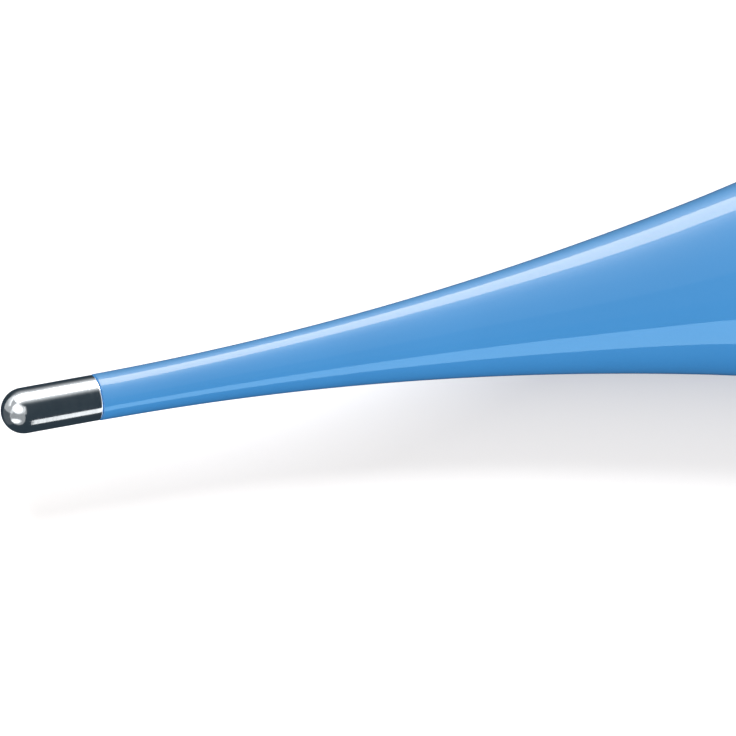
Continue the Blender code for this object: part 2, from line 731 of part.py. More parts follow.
def make_switch(looks, tray_joint, plunger_joint):
    stations = (BUTTON_CENTRE - SWITCH_HALF, BUTTON_CENTRE + SWITCH_HALF)
    block = box(stations, (-SWITCH_HALF, SWITCH_HALF), (ON_BOARD, SWITCH_TOP))
    body = add_piece("switch_body", block, looks["black"], tray_joint)
    well = cylinder(BUTTON_CENTRE, 0, PLUNGER_WELL_RADIUS, PLUNGER_WELL_BOTTOM, SWITCH_TOP + WALL, 20)
    combine(body, well, "DIFFERENCE")
    stem = cylinder(BUTTON_CENTRE, 0, PLUNGER_RADIUS, PLUNGER_BOTTOM, PLUNGER_TOP, 20)
    add_piece("switch_plunger", stem, looks["button"], plunger_joint)


def make_buzzer(looks, joint):
    plate_top = BUZZER_BOTTOM + BUZZER_PLATE
    plate = cylinder(BUZZER_CENTRE, 0, BUZZER_RADIUS, BUZZER_BOTTOM, plate_top, 32)
    add_piece("buzzer_plate", plate, looks["brass"], joint)
    ceramic_bottom = plate_top + STACK_GAP
    ceramic_top = ceramic_bottom + CERAMIC_THICKNESS
    disc = cylinder(BUZZER_CENTRE, 0, CERAMIC_RADIUS, ceramic_bottom, ceramic_top, 28)
    add_piece("buzzer_ceramic", disc, looks["piezo"], joint)
    springs = (
        ("buzzer_spring_centre", 0.0, ceramic_top),
        ("buzzer_spring_edge", -0.0050, plate_top),
    )
    for name, side, foot in springs:
        bottom = foot + SPRING_WIRE + STACK_GAP
        top = UNDER_BOARD - SPRING_WIRE
        steps = SPRING_TURNS * 10
        coil = []
        for index in range(steps + 1):
            angle = 2 * math.pi * SPRING_TURNS * index / steps
            x = x_at(BUZZER_CENTRE) + SPRING_RADIUS * math.cos(angle)
            y = side + SPRING_RADIUS * math.sin(angle)
            coil.append((x, y, bottom + (top - bottom) * index / steps))
        tube(name, coil, SPRING_WIRE, looks["nickel"], joint, 0)


# Battery and cover


def make_battery(looks, joint):
    centre = Vector((x_at(CELL_CENTRE), 0, CELL_BOTTOM))
    profile = [
        (0.0, 0.0),
        (0.0, CELL_CAP_RADIUS),
        (CELL_CAP_HEIGHT, CELL_CAP_RADIUS),
        (CELL_CAP_HEIGHT, CELL_RADIUS - 0.0002),
        (CELL_CAP_HEIGHT + 0.0002, CELL_RADIUS),
        (CELL_HEIGHT - 0.0003, CELL_RADIUS),
        (CELL_HEIGHT, CELL_RADIUS - 0.0003),
        (CELL_HEIGHT, 0.0),
    ]
    add_piece("button_cell", turned(profile, "Z", centre, 32), looks["nickel"], joint)

    half = CONTACT_THICKNESS / 2
    below = CELL_BOTTOM - STACK_GAP - half
    above = CELL_BOTTOM + CELL_HEIGHT + STACK_GAP + half
    make_contact("battery_contact_negative", NEGATIVE_STATIONS, UNDER_BOARD - half, below, looks, joint)
    make_contact("battery_contact_positive", POSITIVE_STATIONS, ON_BOARD + half, above, looks, joint)


def make_contact(name, stations, pad, level, looks, joint):
    """A strip from its pad on the board, round two bends, to the level of the cell's face."""
    bend = math.copysign(CONTACT_BEND, level - pad)
    heights = (pad, pad, pad + bend, level - bend, level, level)
    strip = bent_strip(zip(stations, heights), CONTACT_THICKNESS, CONTACT_WIDTH)
    add_piece(name, strip, looks["nickel"], joint)


def plug_section(station, depth=0.0):
    return section(station, SPIGOT_HALF_WIDTH - depth, SPIGOT_HALF_HEIGHT - depth, BODY_EXPONENT)


def make_cover(looks, joint):
    """Spigot with its ring groove, then the rounded tail; hollow from the spigot's end."""
    low, high = RING_GROOVE
    sections = [plug_section(COVER_SPIGOT_START), plug_section(low)]
    sections += [plug_section(low, RING_GROOVE_DEPTH), plug_section(high, RING_GROOVE_DEPTH)]
    sections += [plug_section(high), plug_section(COVER_START)]
    for turn in evenly(0.0, math.pi / 2, 10):
        sections.append(body_section(COVER_START + (LENGTH - COVER_START) * math.sin(turn)))
    cover = add_piece("battery_cover", loft(sections), looks["blue"], joint)

    across = COVER_HOLLOW_HALF_WIDTH
    up = COVER_HOLLOW_HALF_HEIGHT
    stations = (COVER_SPIGOT_START - WALL, CELL_CENTRE, COVER_HOLLOW_NARROWS, COVER_HOLLOW_END)
    shares = (1.0, 1.0, 0.97, 0.80)
    hollow = [section(s, across * k, up * k, BODY_EXPONENT) for s, k in zip(stations, shares)]
    combine(cover, loft(hollow), "DIFFERENCE")
    for station in RIB_STATIONS:
        height = AXIS_HEIGHT + half_thickness(station) + RIB_RISE - RIB_RADIUS
        combine(cover, rib(station, height), "UNION")

    bottom = (SPIGOT_HALF_WIDTH - RING_GROOVE_DEPTH, SPIGOT_HALF_HEIGHT - RING_GROOVE_DEPTH)
    inner = [size + CLEARANCE / 2 for size in bottom]
    outer = [size + RING_THICKNESS for size in inner]
    half_length = (high - low) / 2 - CLEARANCE / 2
    ring = ring_round((low + high) / 2, inner, outer, half_length, BODY_EXPONENT)
    add_piece("cover_seal", ring, looks["rubber"], joint)


def rib(station, height):
    """A grip rib: a short bar across the cover with round ends."""
    shape = bmesh.new()
    bmesh.ops.create_cone(
        shape,
        cap_ends=True,
        segments=12,
        radius1=RIB_RADIUS,
        radius2=RIB_RADIUS,
        depth=2 * RIB_HALF_LENGTH,
        matrix=Matrix.Translation((x_at(station), 0, height)) @ Matrix.Rotation(math.pi / 2, 4, "X"),
    )
    return shape


def make_looks():
    return {
        "blue": material("blue_gloss_plastic", (0.09, 0.35, 0.72), 0.18),
        "steel": material("polished_steel", (0.78, 0.80, 0.82), 0.08, 1.0),
        "potting": material("potting_resin", (0.85, 0.84, 0.80), 0.5),
        "bead": material("thermistor_glass", (0.10, 0.09, 0.08), 0.2),
        "wire": material("wire_enamel", (0.55, 0.12, 0.08), 0.4),
        "clear": material("clear_window", (0.92, 0.95, 0.96), 0.03, 0.0, 1.0),
        "black": material("black_plastic", (0.03, 0.03, 0.035), 0.45),
        "button": material("button_plastic", (0.93, 0.94, 0.95), 0.3),
        "rubber": material("seal_rubber", (0.05, 0.05, 0.055), 0.7),
        "white": material("white_plastic", (0.86, 0.87, 0.86), 0.45),
        "board": material("board_green", (0.02, 0.17, 0.08), 0.4),
        "reflector": material("reflector_film", (0.55, 0.60, 0.56), 0.35),
        "lcd": material("lcd_glass", (0.62, 0.68, 0.62), 0.05),
        "polariser": material("polariser_film", (0.50, 0.55, 0.50), 0.1),
        "zebra": material("zebra_elastomer", (0.16, 0.15, 0.17), 0.6),
        "epoxy": material("black_epoxy", (0.02, 0.02, 0.02), 0.3),
        "ceramic_black": material("resistor_ceramic", (0.04, 0.04, 0.05), 0.4),
        "ceramic_tan": material("capacitor_ceramic", (0.55, 0.42, 0.27), 0.4),
        "brass": material("brass_plate", (0.80, 0.60, 0.25), 0.25, 1.0),
        "piezo": material("piezo_silvering", (0.80, 0.80, 0.78), 0.4, 0.6),
        "nickel": material("nickel_plate", (0.75, 0.74, 0.71), 0.22, 1.0),
    }


def main():
    clear_scene()
    looks = make_looks()
    button_at = Vector((x_at(BUTTON_CENTRE), 0, BUTTON_BOTTOM))
    root = joint_empty("shell_frame", Vector((0, 0, 0)))
    button_joint = joint_empty("button_axis", button_at, root)
    tray_joint = joint_empty("tray_slide_axis", Vector((x_at(TRAY_START), 0, AXIS_HEIGHT)), root)
    plunger_at = Vector((x_at(BUTTON_CENTRE), 0, PLUNGER_BOTTOM))
    plunger_joint = joint_empty("plunger_axis", plunger_at, tray_joint)
    cover_joint = joint_empty("cover_slide_axis", Vector((x_at(SEAM), 0, AXIS_HEIGHT)), tray_joint)

    make_shell(looks, root)
    make_tip(looks, root)
    make_window(looks, root)
    make_button(looks, root, button_joint)
    make_tray(looks, tray_joint)
    make_board(looks, tray_joint)
    make_board_parts(looks, tray_joint)
    make_display(looks, tray_joint)
    make_switch(looks, tray_joint, plunger_joint)
    make_buzzer(looks, tray_joint)
    make_battery(looks, tray_joint)
    make_leads(looks, tray_joint)
    make_cover(looks, cover_joint)


main()
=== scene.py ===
"""Looks of the digital stick thermometer: fine shells, materials, a studio and a camera.

The thermometer lies on its back along X, sensor tip at -X, with its axis a little above the floor.
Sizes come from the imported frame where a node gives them. A "station" is a distance along the axis
from the tip's end.
"""

import math

import bmesh
import bpy
from mathutils import Matrix, Vector


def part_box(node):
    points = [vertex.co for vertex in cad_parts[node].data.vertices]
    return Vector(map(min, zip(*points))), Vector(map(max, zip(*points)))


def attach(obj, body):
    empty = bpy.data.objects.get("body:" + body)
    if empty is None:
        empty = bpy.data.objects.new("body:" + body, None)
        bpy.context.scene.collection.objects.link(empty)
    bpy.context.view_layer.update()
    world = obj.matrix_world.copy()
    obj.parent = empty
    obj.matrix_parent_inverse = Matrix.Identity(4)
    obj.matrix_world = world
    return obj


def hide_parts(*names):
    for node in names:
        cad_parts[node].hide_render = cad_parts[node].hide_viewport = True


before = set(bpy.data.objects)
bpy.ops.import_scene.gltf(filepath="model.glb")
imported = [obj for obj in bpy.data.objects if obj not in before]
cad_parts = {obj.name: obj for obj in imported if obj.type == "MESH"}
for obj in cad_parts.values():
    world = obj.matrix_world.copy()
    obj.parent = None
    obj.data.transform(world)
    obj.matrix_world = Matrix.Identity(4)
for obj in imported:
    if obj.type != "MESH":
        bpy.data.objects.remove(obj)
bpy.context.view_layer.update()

# Measures read from the frame
CAP_LOW, CAP_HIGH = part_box("metal_tip_cap")
SHELL_LOW, SHELL_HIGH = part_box("body_shell")
COVER_LOW, COVER_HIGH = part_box("battery_cover")
WINDOW_LOW, WINDOW_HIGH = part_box("display_window")
BUTTON_LOW, BUTTON_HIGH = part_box("power_button")
FILM_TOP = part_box("lcd_front_polariser")[1].z
CELL_LOW, CELL_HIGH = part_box("button_cell")
TIP_X = CAP_LOW.x
LENGTH = COVER_HIGH.x - TIP_X
CAP_LENGTH = CAP_HIGH.x - CAP_LOW.x
CAP_RADIUS = (CAP_HIGH.y - CAP_LOW.y) / 2
AXIS_HEIGHT = (CAP_LOW.z + CAP_HIGH.z) / 2
SEAM = SHELL_HIGH.x - TIP_X
MM = 0.001

# The shell's outline, as the CAD solid has it
NECK_RADIUS = 2.04 * MM
BODY_HALF_WIDTH = 11.5 * MM
BODY_HALF_THICKNESS = 6.05 * MM
WIDTH_FLARE = {"start": 7.8 * MM, "radius": 273 * MM, "turn": 70 * MM}
THICKNESS_FLARE = {"start": 14 * MM, "radius": 388 * MM, "turn": 52 * MM}
TAIL_POLE = LENGTH + 0.03 * MM
TAIL_WIDTH_START = 112 * MM
TAIL_THICKNESS_START = 118 * MM
TAIL_EXPONENT = 3.2
BODY_EXPONENT = 2.6
SQUARING = (64 * MM, 83.5 * MM)
COLLAR_START = CAP_LENGTH + 0.10 * MM
COVER_START = SEAM + 0.06 * MM
SPIGOT_START = SHELL_LOW.x - TIP_X
SPIGOT_RADIUS = 1.72 * MM
CAP_WALL = 0.2 * MM
CAP_ROLL = 0.12 * MM
CAP_SIDE_START = CAP_RADIUS + 0.4 * MM
EDGE_ROUND = 0.10 * MM
# Shares of EDGE_ROUND: how far in from the mouth, and how far below the skin
MOUTH_ROUND = ((0.0, 0.6), (0.18, 0.18))
MOUTH_ROUND_END = 0.6
FLOOR_EASE = 0.08 * MM

# The shell's hollow and openings, as the CAD solid has them
WALL = 1.3 * MM
CHANNEL_RADIUS = 1.0 * MM
CAVITY_HALF_WIDTH = 10.1 * MM
CAVITY_HALF_HEIGHT = 4.5 * MM
CEILING = AXIS_HEIGHT + CAVITY_HALF_HEIGHT
WINDOW_CENTRE = (WINDOW_LOW.x + WINDOW_HIGH.x) / 2 - TIP_X
WINDOW_HALF_LENGTH = (WINDOW_HIGH.x - WINDOW_LOW.x) / 2
WINDOW_HALF_WIDTH = (WINDOW_HIGH.y - WINDOW_LOW.y) / 2
WINDOW_CORNER = 3.2 * MM
SMALLEST_CORNER = 0.05 * MM
WINDOW_LEDGE = 1.4 * MM
RECESS_FLOOR = CEILING + 0.45 * MM
BUTTON_FLANGE = 0.6 * MM
BUTTON_CENTRE = (BUTTON_LOW.x + BUTTON_HIGH.x) / 2 - TIP_X
BUTTON_HALF_LENGTH = (BUTTON_HIGH.x - BUTTON_LOW.x) / 2 - BUTTON_FLANGE
BUTTON_HALF_WIDTH = (BUTTON_HIGH.y - BUTTON_LOW.y) / 2 - BUTTON_FLANGE
BUTTON_TOP = BUTTON_HIGH.z
NEARLY_ROUND = 0.999
BUTTON_RIM = 0.32 * MM
BUTTON_DISH = 0.16 * MM
BUTTON_FLANGE_TOP = CEILING + 0.38 * MM
BUTTON_CHAMFER = 0.05 * MM
BUTTON_MIDDLE = BUTTON_HALF_WIDTH - 0.25 * MM
FIT = 0.1 * MM
LENS_SINK = 0.03 * MM
LIP = 0.12 * MM
LENS_CHAMFER = 0.04 * MM
LENS_MIDDLE = WINDOW_HALF_WIDTH - 0.1 * MM
PRINT_THICKNESS = 0.02 * MM
PRINT_SINK = 0.004 * MM
PRINT_OUTER_INSET = 0.15 * MM
PRINT_INNER_INSET = WINDOW_LEDGE + 0.2 * MM
SEAL_GROOVE = 0.55 * MM
SEAL_GROOVE_TOP = RECESS_FLOOR + 0.5 * MM

# The battery cover
COVER_SPIGOT_START = COVER_LOW.x - TIP_X
SPIGOT_HALF_WIDTH = 9.9 * MM
SPIGOT_HALF_HEIGHT = 4.3 * MM
COVER_HOLLOW = {"half_width": 8.5 * MM, "half_height": 3.1 * MM}
COVER_HOLLOW_SHARES = ((115.5 * MM, 1.0), (127.5 * MM, 1.0), (133.2 * MM, 0.97), (135.0 * MM, 0.80))
RING_GROOVE = (118.2 * MM, 119.2 * MM)
RING_DEPTH = 0.55 * MM
RING_THICKNESS = 0.58 * MM
RIB_STATIONS = (125.5 * MM, 127.7 * MM, 129.9 * MM)
RIB_HALF_LENGTH = 3.4 * MM
RIB_RADIUS = 0.5 * MM
RIB_RISE = 0.22 * MM
RIB_SIDES = 32
RIB_END_DEGREES = (8, 25, 42, 58, 74, 90)

# The button cell's can, raised cap and crimped edge
CELL_CAP_INSET = 0.75 * MM
CELL_CAP_RISE = 0.3 * MM
CELL_CRIMP = 0.22 * MM
CELL_GROOVE = 0.2 * MM
CELL_ROUND = 0.1 * MM
CELL_TINY = 0.02 * MM

# The reading on the display, in seven-segment strokes, and the degree sign and C beside it
READING = "36.5"
DIGIT_HEIGHT = 4.5 * MM
DIGIT_WIDTH = 2.5 * MM
DIGIT_PITCH = 4.3 * MM
DIGIT_SLANT = 0.09
STROKE = 0.62 * MM
STROKE_GAP = 0.10 * MM
INK_THICKNESS = 0.02 * MM
READING_START = -7.9 * MM
UNIT_HEIGHT = 2.7 * MM
UNIT_WIDTH = 1.35 * MM
UNIT_STROKE = 0.34 * MM
DEGREE_WIDTH = UNIT_WIDTH * 0.7
DEGREE_HEIGHT = UNIT_HEIGHT * 0.8
DEGREE_PITCH = UNIT_WIDTH * 1.5
POINT_LENGTH = STROKE * 1.5
SEGMENT_ENDS = {
    "a": ((0, 2), (1, 2)),
    "b": ((1, 2), (1, 1)),
    "c": ((1, 1), (1, 0)),
    "d": ((0, 0), (1, 0)),
    "e": ((0, 1), (0, 0)),
    "f": ((0, 2), (0, 1)),
    "g": ((0, 1), (1, 1)),
}
LIT_SEGMENTS = {"3": "abcdg", "6": "acdefg", "5": "acdfg", "degree": "abfg", "C": "adef"}

# How finely the shells are skinned
AROUND = 128
RING_PITCH = 1.0 * MM

# The camera, from the photograph's viewing angle
CAMERA_TURN = math.radians(18)
CAMERA_TILT = math.radians(23)
AXIS_RISE = math.radians(10.30)
VIEW_WIDTH = 64 * MM
VIEW_STATION = 33.5 * MM
VIEW_DROP = 1.71 * MM
LENS_MM = 1000
SENSOR_MM = 36

# Colours that the blue plastic wavers between
BLUE_DEEP = (0.027, 0.262, 0.622)
BLUE_LIGHT = (0.031, 0.274, 0.645)

# The studio. A strip's angles are in degrees up from the view direction, round the thermometer's axis,
# and its ends are distances along X from the middle of the view. A fade has the angle it starts
# from, how far it reaches and its first radiance; a veil band has its two angles and its radiance.
WHITE = (1, 1, 1)
STRIP_REACH = 0.35
STRIP_ENDS = (-0.69, 0.91)
UPPER_STRIP = (52, 89)
UPPER_RADIANCE = 8.0
UPPER_TINT = (1.0, 0.87, 0.62)
UPPER_FADES = {"near": (52, -32, 1.6), "far": (89, 45, 1.3)}
FADE_STEPS = 8
FADE_POWER = 2.2
LOWER_STRIP = (-80, -57)
LOWER_RADIANCE = 3.4
LOWER_TINT = (0.50, 0.82, 1.0)
VEIL_BANDS = ((50, 30, 0.40), (30, 5, 0.40), (5, -20, 0.36), (-20, -40, 0.10))

# Lights for the steel cap alone. A card faces the middle of the dome, and its turns about Y from
# straight off the tip and its rises towards +Y are in degrees.
CAP_UPPER_ENDS = (-0.24, 0.91)
CAP_LOWER_STRIP = (-85, -60)
CAP_LOWER_RADIANCE = 1.35
CAP_LOWER_ENDS = (0.070, 0.91)
END_CARDS = (
    # turns, rises, shape, radiance
    ((-50, 18), (0, 62), "RECTANGLE", 0.50),
    ((-50, 8), (-48, 0), "RECTANGLE", 0.08),
    ((0, 78), (-54, 40), "ELLIPSE", 0.30),
    ((10, 78), (4, 52), "ELLIPSE", 0.45),
    ((18, 66), (8, 46), "ELLIPSE", 0.80),
    ((2, 54), (-46, -20), "ELLIPSE", 0.40),
    ((10, 46), (-42, -24), "ELLIPSE", 0.80),
    ((74, 86), (2, 42), "RECTANGLE", 0.45),
)
RIM_CARD_SIDE = 1.0
RIM_CARD_RADIANCE = 0.9

# The world's light, brightest from BRIGHT_SIDE, and the key light on the floor
SURROUND = (0.032, 0.050, 0.066)
ABOVE = (1.15, 1.15, 1.15)
BELOW = (0.30, 0.43, 0.58)
BRIGHT_SIDE = (0, 0.75, 0.66)
BRIGHT_RANGE = (-0.5, 0.4)
KEY_DIRECTION = Vector((-3.6, 13.2, 5.9))
KEY_REACH = 1.2
KEY_SIZE = (0.20, 0.42)
KEY_RADIANCE = 120.0
KEY_TINT = (0.92, 0.96, 1.0)
FLOOR_HALF = 6.0


def x_at(station):
    return TIP_X + station


# Outline and sections


def flare(station, base, full, start, radius, turn):
    """A size that leaves the base along a concave arc, turns, and comes level at the full size."""
    if station <= start:
        return base
    if station <= turn:
        return base + (station - start) ** 2 / (2 * radius)
    slope = (turn - start) / radius
    rise = full - base - (turn - start) ** 2 / (2 * radius)
    run = 2 * rise / slope
    left = max(0.0, turn + run - station)
    return full - slope * left**2 / (2 * run)


def tail_share(station, start):
    past = max(0.0, station - start) / (TAIL_POLE - start)
    return (1 - past**TAIL_EXPONENT) ** (1 / TAIL_EXPONENT)


def half_width(station):
    grown = flare(station, NECK_RADIUS, BODY_HALF_WIDTH, **WIDTH_FLARE)
    return grown * tail_share(station, TAIL_WIDTH_START)


def half_thickness(station):
    grown = flare(station, NECK_RADIUS, BODY_HALF_THICKNESS, **THICKNESS_FLARE)
    return grown * tail_share(station, TAIL_THICKNESS_START)


def exponent(station):
    share = (station - SQUARING[0]) / (SQUARING[1] - SQUARING[0])
    share = min(1.0, max(0.0, share))
    return 2 + (BODY_EXPONENT - 2) * share * share * (3 - 2 * share)


def section(station, half_y, half_z, power=2.0, count=AROUND):
    """Points round a superellipse across the axis, eased flat where it would sink into the floor."""
    points = []
    for index in range(count):
        angle = 2 * math.pi * index / count
        across = math.cos(angle)
        up = math.sin(angle)
        y = half_y * math.copysign(abs(across) ** (2 / power), across)
        z = AXIS_HEIGHT + half_z * math.copysign(abs(up) ** (2 / power), up)
        points.append((x_at(station), y, (z + math.hypot(z, FLOOR_EASE)) / 2))
    return points


def body_section(station, shrink=0.0):
    return section(
        station, half_width(station) - shrink, half_thickness(station) - shrink, exponent(station)
    )


def evenly(start, end, steps):
    return [start + (end - start) * index / steps for index in range(steps + 1)]


def rounded_outline(centre, half_length, half_side, corner, steps=16):
    """Points (x, y) round a rectangle with round corners, anticlockwise from above."""
    points = []
    for turn, (side_x, side_y) in enumerate(((1, 1), (-1, 1), (-1, -1), (1, -1))):
        for index in range(steps + 1):
            angle = math.pi / 2 * (turn + index / steps)
            x = side_x * (half_length - corner) + corner * math.cos(angle)
            y = side_y * (half_side - corner) + corner * math.sin(angle)
            points.append((x_at(centre) + x, y))
    return points


def surface_height(x, y):
    """Height of the shell's outer face over a point."""
    station = x - TIP_X
    power = exponent(station)
    share = min(1.0, abs(y) / half_width(station))
    return AXIS_HEIGHT + half_thickness(station) * (1 - share**power) ** (1 / power)


def window_outline(inset):
    corner = max(WINDOW_CORNER - inset, SMALLEST_CORNER)
    return rounded_outline(WINDOW_CENTRE, WINDOW_HALF_LENGTH - inset, WINDOW_HALF_WIDTH - inset, corner)


def button_outline(grow):
    radius = BUTTON_HALF_WIDTH + grow
    return rounded_outline(BUTTON_CENTRE, BUTTON_HALF_LENGTH + grow, radius, radius * NEARLY_ROUND)


# Mesh work


def skin(shape, near, far):
    """Quads between two rings of vertices in the same order."""
    for index in range(len(near)):
        shape.faces.new((near[index - 1], near[index], far[index], far[index - 1]))


def loft(sections):
    """A closed skin through sections, with a flat face at each end."""
    shape = bmesh.new()
    rings = [[shape.verts.new(point) for point in points] for points in sections]
    for near, far in zip(rings, rings[1:]):
        skin(shape, near, far)
    shape.faces.new(rings[0])
    shape.faces.new(rings[-1])
    return shape


def prism(outline, low, high):
    shape = bmesh.new()
    base = shape.faces.new([shape.verts.new((x, y, low)) for x, y in outline])
    made = bmesh.ops.extrude_face_region(shape, geom=[base])["geom"]
    top = [item for item in made if isinstance(item, bmesh.types.BMVert)]
    bmesh.ops.translate(shape, verts=top, vec=(0, 0, high - low))
    return shape


def lipped_tool(outline_of, bottom):
    """A cutter that leaves a softly rounded lip where it comes out through the shell's outer face."""
    rings = [[(x, y, bottom) for x, y in outline_of(-FIT)]]
    for angle in evenly(0.0, math.radians(80), 6):
        out = FIT + LIP * (1 - math.cos(angle))
        drop = LIP * (1 - math.sin(angle))
        rings.append([(x, y, surface_height(x, y) - drop) for x, y in outline_of(-out)])
    rings.append([(x, y, BUTTON_TOP + WALL) for x, y in outline_of(-out)])
    return loft(rings)


def turned_about_axis(profile, steps):
    """A profile of (station, radius) spun round the thermometer's axis."""
    shape = bmesh.new()
    line = [shape.verts.new((x_at(station), radius, AXIS_HEIGHT)) for station, radius in profile]
    edges = [shape.edges.new(pair) for pair in zip(line, line[1:])]
    bmesh.ops.spin(
        shape,
        geom=line + edges,
        cent=(0, 0, AXIS_HEIGHT),
        axis=(1, 0, 0),
        angle=2 * math.pi,
        steps=steps,
        use_merge=True,
    )
    bmesh.ops.remove_doubles(shape, verts=shape.verts[:], dist=1e-7)
    return shape


def turned_upright(profile, centre, steps):
    """A profile of (height, radius) spun round a vertical axis."""
    rings = []
    for height, radius in profile:
        turn = [2 * math.pi * index / steps for index in range(steps)]
        ring = [(centre.x + radius * math.cos(a), centre.y + radius * math.sin(a), height) for a in turn]
        rings.append(ring)
    return loft(rings)


def swept_ring(station, inner, outer, half_length, sides=20):
    """A seal ring swept round a superellipse; inner and outer are (half width, half height) pairs."""
    shape = bmesh.new()
    rings = []
    for index in range(sides):
        angle = 2 * math.pi * index / sides
        share = (1 + math.cos(angle)) / 2
        half_y = inner[0] + (outer[0] - inner[0]) * share
        half_z = inner[1] + (outer[1] - inner[1]) * share
        points = section(station + half_length * math.sin(angle), half_y, half_z, BODY_EXPONENT)
        rings.append([shape.verts.new(point) for point in points])
    for near, far in zip(rings, rings[1:] + rings[:1]):
        skin(shape, near, far)
    return shape


def to_object(name, shape, look=None):
    bmesh.ops.recalc_face_normals(shape, faces=shape.faces[:])
    mesh = bpy.data.meshes.new(name)
    shape.to_mesh(mesh)
    shape.free()
    if look:
        mesh.materials.append(look)
    made = bpy.data.objects.new(name, mesh)
    bpy.context.collection.objects.link(made)
    return made


def shade(piece, sharp_angle=40):
    piece.data.shade_smooth()
    piece.data.set_sharp_from_angle(angle=math.radians(sharp_angle))


def carve(piece, shape, operation="DIFFERENCE"):
    """Runs an exact Boolean on a piece's mesh and keeps the result."""
    tool = to_object("cutter", shape)
    modifier = piece.modifiers.new("carve", "BOOLEAN")
    modifier.operation = operation
    modifier.solver = "EXACT"
    modifier.object = tool
    graph = bpy.context.evaluated_depsgraph_get()
    made = bpy.data.meshes.new_from_object(piece.evaluated_get(graph))
    piece.modifiers.clear()
    piece.data = made
    bpy.data.objects.remove(tool)


def belong(piece, body, slot, *replaced):
    """Hangs a piece on the empty of the body it rides on and hides the CAD nodes it stands for; slot is not
    used.
    """
    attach(piece, body)
    if replaced:
        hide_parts(*replaced)


# Materials


def new_look(name):
    look = bpy.data.materials.new(name)
    look.use_nodes = True
    tree = look.node_tree
    return look, tree, tree.nodes["Principled BSDF"]


def object_noise(tree, scale, detail=3.0, stretch=(1, 1, 1)):
    """A noise texture in the object's own metres, stretched along any axis."""
    coordinates = tree.nodes.new("ShaderNodeTexCoord")
    mapping = tree.nodes.new("ShaderNodeMapping")
    mapping.inputs["Scale"].default_value = stretch
    noise = tree.nodes.new("ShaderNodeTexNoise")
    noise.inputs["Scale"].default_value = scale
    noise.inputs["Detail"].default_value = detail
    tree.links.new(coordinates.outputs["Object"], mapping.inputs["Vector"])
    tree.links.new(mapping.outputs["Vector"], noise.inputs["Vector"])
    return noise.outputs["Fac"]


def ranged(tree, value, low, high):
    """Maps a noise value onto a range, for instance of roughness."""
    node = tree.nodes.new("ShaderNodeMapRange")
    node.inputs["From Min"].default_value = 0.3
    node.inputs["From Max"].default_value = 0.7
    node.inputs["To Min"].default_value = low
    node.inputs["To Max"].default_value = high
    tree.links.new(value, node.inputs["Value"])
    return node.outputs["Result"]


def blended(tree, value, first, second):
    """Mixes two colours by a value."""
    node = tree.nodes.new("ShaderNodeMix")
    node.data_type = "RGBA"
    node.inputs["A"].default_value = (*first, 1)
    node.inputs["B"].default_value = (*second, 1)
    tree.links.new(value, node.inputs["Factor"])
    return node.outputs["Result"]


def blended_links(tree, value, first, second):
    """Mixes a colour made by nodes with a plain one by a value."""
    mixed = blended(tree, value, (0, 0, 0), second)
    tree.links.new(first, mixed.node.inputs["A"])
    return mixed


def bump(tree, shader, height, strength, distance):
    node = tree.nodes.new("ShaderNodeBump")
    node.inputs["Strength"].default_value = strength
    node.inputs["Distance"].default_value = distance
    tree.links.new(height, node.inputs["Height"])
    tree.links.new(node.outputs["Normal"], shader.inputs["Normal"])


def blue_plastic():
    """High-gloss sky-blue moulded plastic: a deep base under a clear, nearly perfect surface."""
    look, tree, shader = new_look("blue_gloss_plastic")
    mottling = object_noise(tree, 90, 2.0)
    colour = blended(tree, ranged(tree, mottling, 0, 1), BLUE_DEEP, BLUE_LIGHT)
    tree.links.new(colour, shader.inputs["Base Color"])
    fine = object_noise(tree, 2500, 2.0)
    tree.links.new(ranged(tree, fine, 0.62, 0.68), shader.inputs["Roughness"])
    shader.inputs["Specular IOR Level"].default_value = 0.5
    shader.inputs["Coat Weight"].default_value = 1.0
    shader.inputs["Coat Roughness"].default_value = 0.025
    shader.inputs["Coat IOR"].default_value = 1.5
    return look


def steel():
    """Drawn and polished stainless steel with faint polishing lines round the cap."""
    look, tree, shader = new_look("polished_steel")
    lines = object_noise(tree, 9000, 2.0, stretch=(1.0, 0.06, 0.06))
    cloud = object_noise(tree, 700, 3.0)
    tint = blended(tree, ranged(tree, cloud, 0, 1), (0.66, 0.69, 0.71), (0.76, 0.78, 0.79))
    tree.links.new(tint, shader.inputs["Base Color"])
    tree.links.new(ranged(tree, lines, 0.09, 0.15), shader.inputs["Roughness"])
    shader.inputs["Metallic"].default_value = 1.0
    bump(tree, shader, lines, 0.05, 0.00001)
    return look


def mottled(name, first, second, roughness, scale, metallic=0.0, grain=0.0):
    """A plain material with the slight unevenness of the real one in its colour, gloss and surface."""
    look, tree, shader = new_look(name)
    cloud = object_noise(tree, scale)
    tree.links.new(blended(tree, ranged(tree, cloud, 0, 1), first, second), shader.inputs["Base Color"])
    fine = object_noise(tree, scale * 5, 2.0)
    spread = roughness * 0.12
    tree.links.new(ranged(tree, fine, roughness - spread, roughness + spread), shader.inputs["Roughness"])
    shader.inputs["Metallic"].default_value = metallic
    if grain:
        bump(tree, shader, fine, grain, 0.00002)
    return look


def satin_white():
    """Cool white plastic with a fine spark-eroded grain."""
    look = mottled("satin_white_plastic", (0.80, 0.82, 0.83), (0.85, 0.87, 0.88), 0.30, 700, 0.0, 0.10)
    shader = look.node_tree.nodes["Principled BSDF"]
    shader.inputs["Subsurface Weight"].default_value = 0.1
    shader.inputs["Subsurface Scale"].default_value = 0.0006
    return look


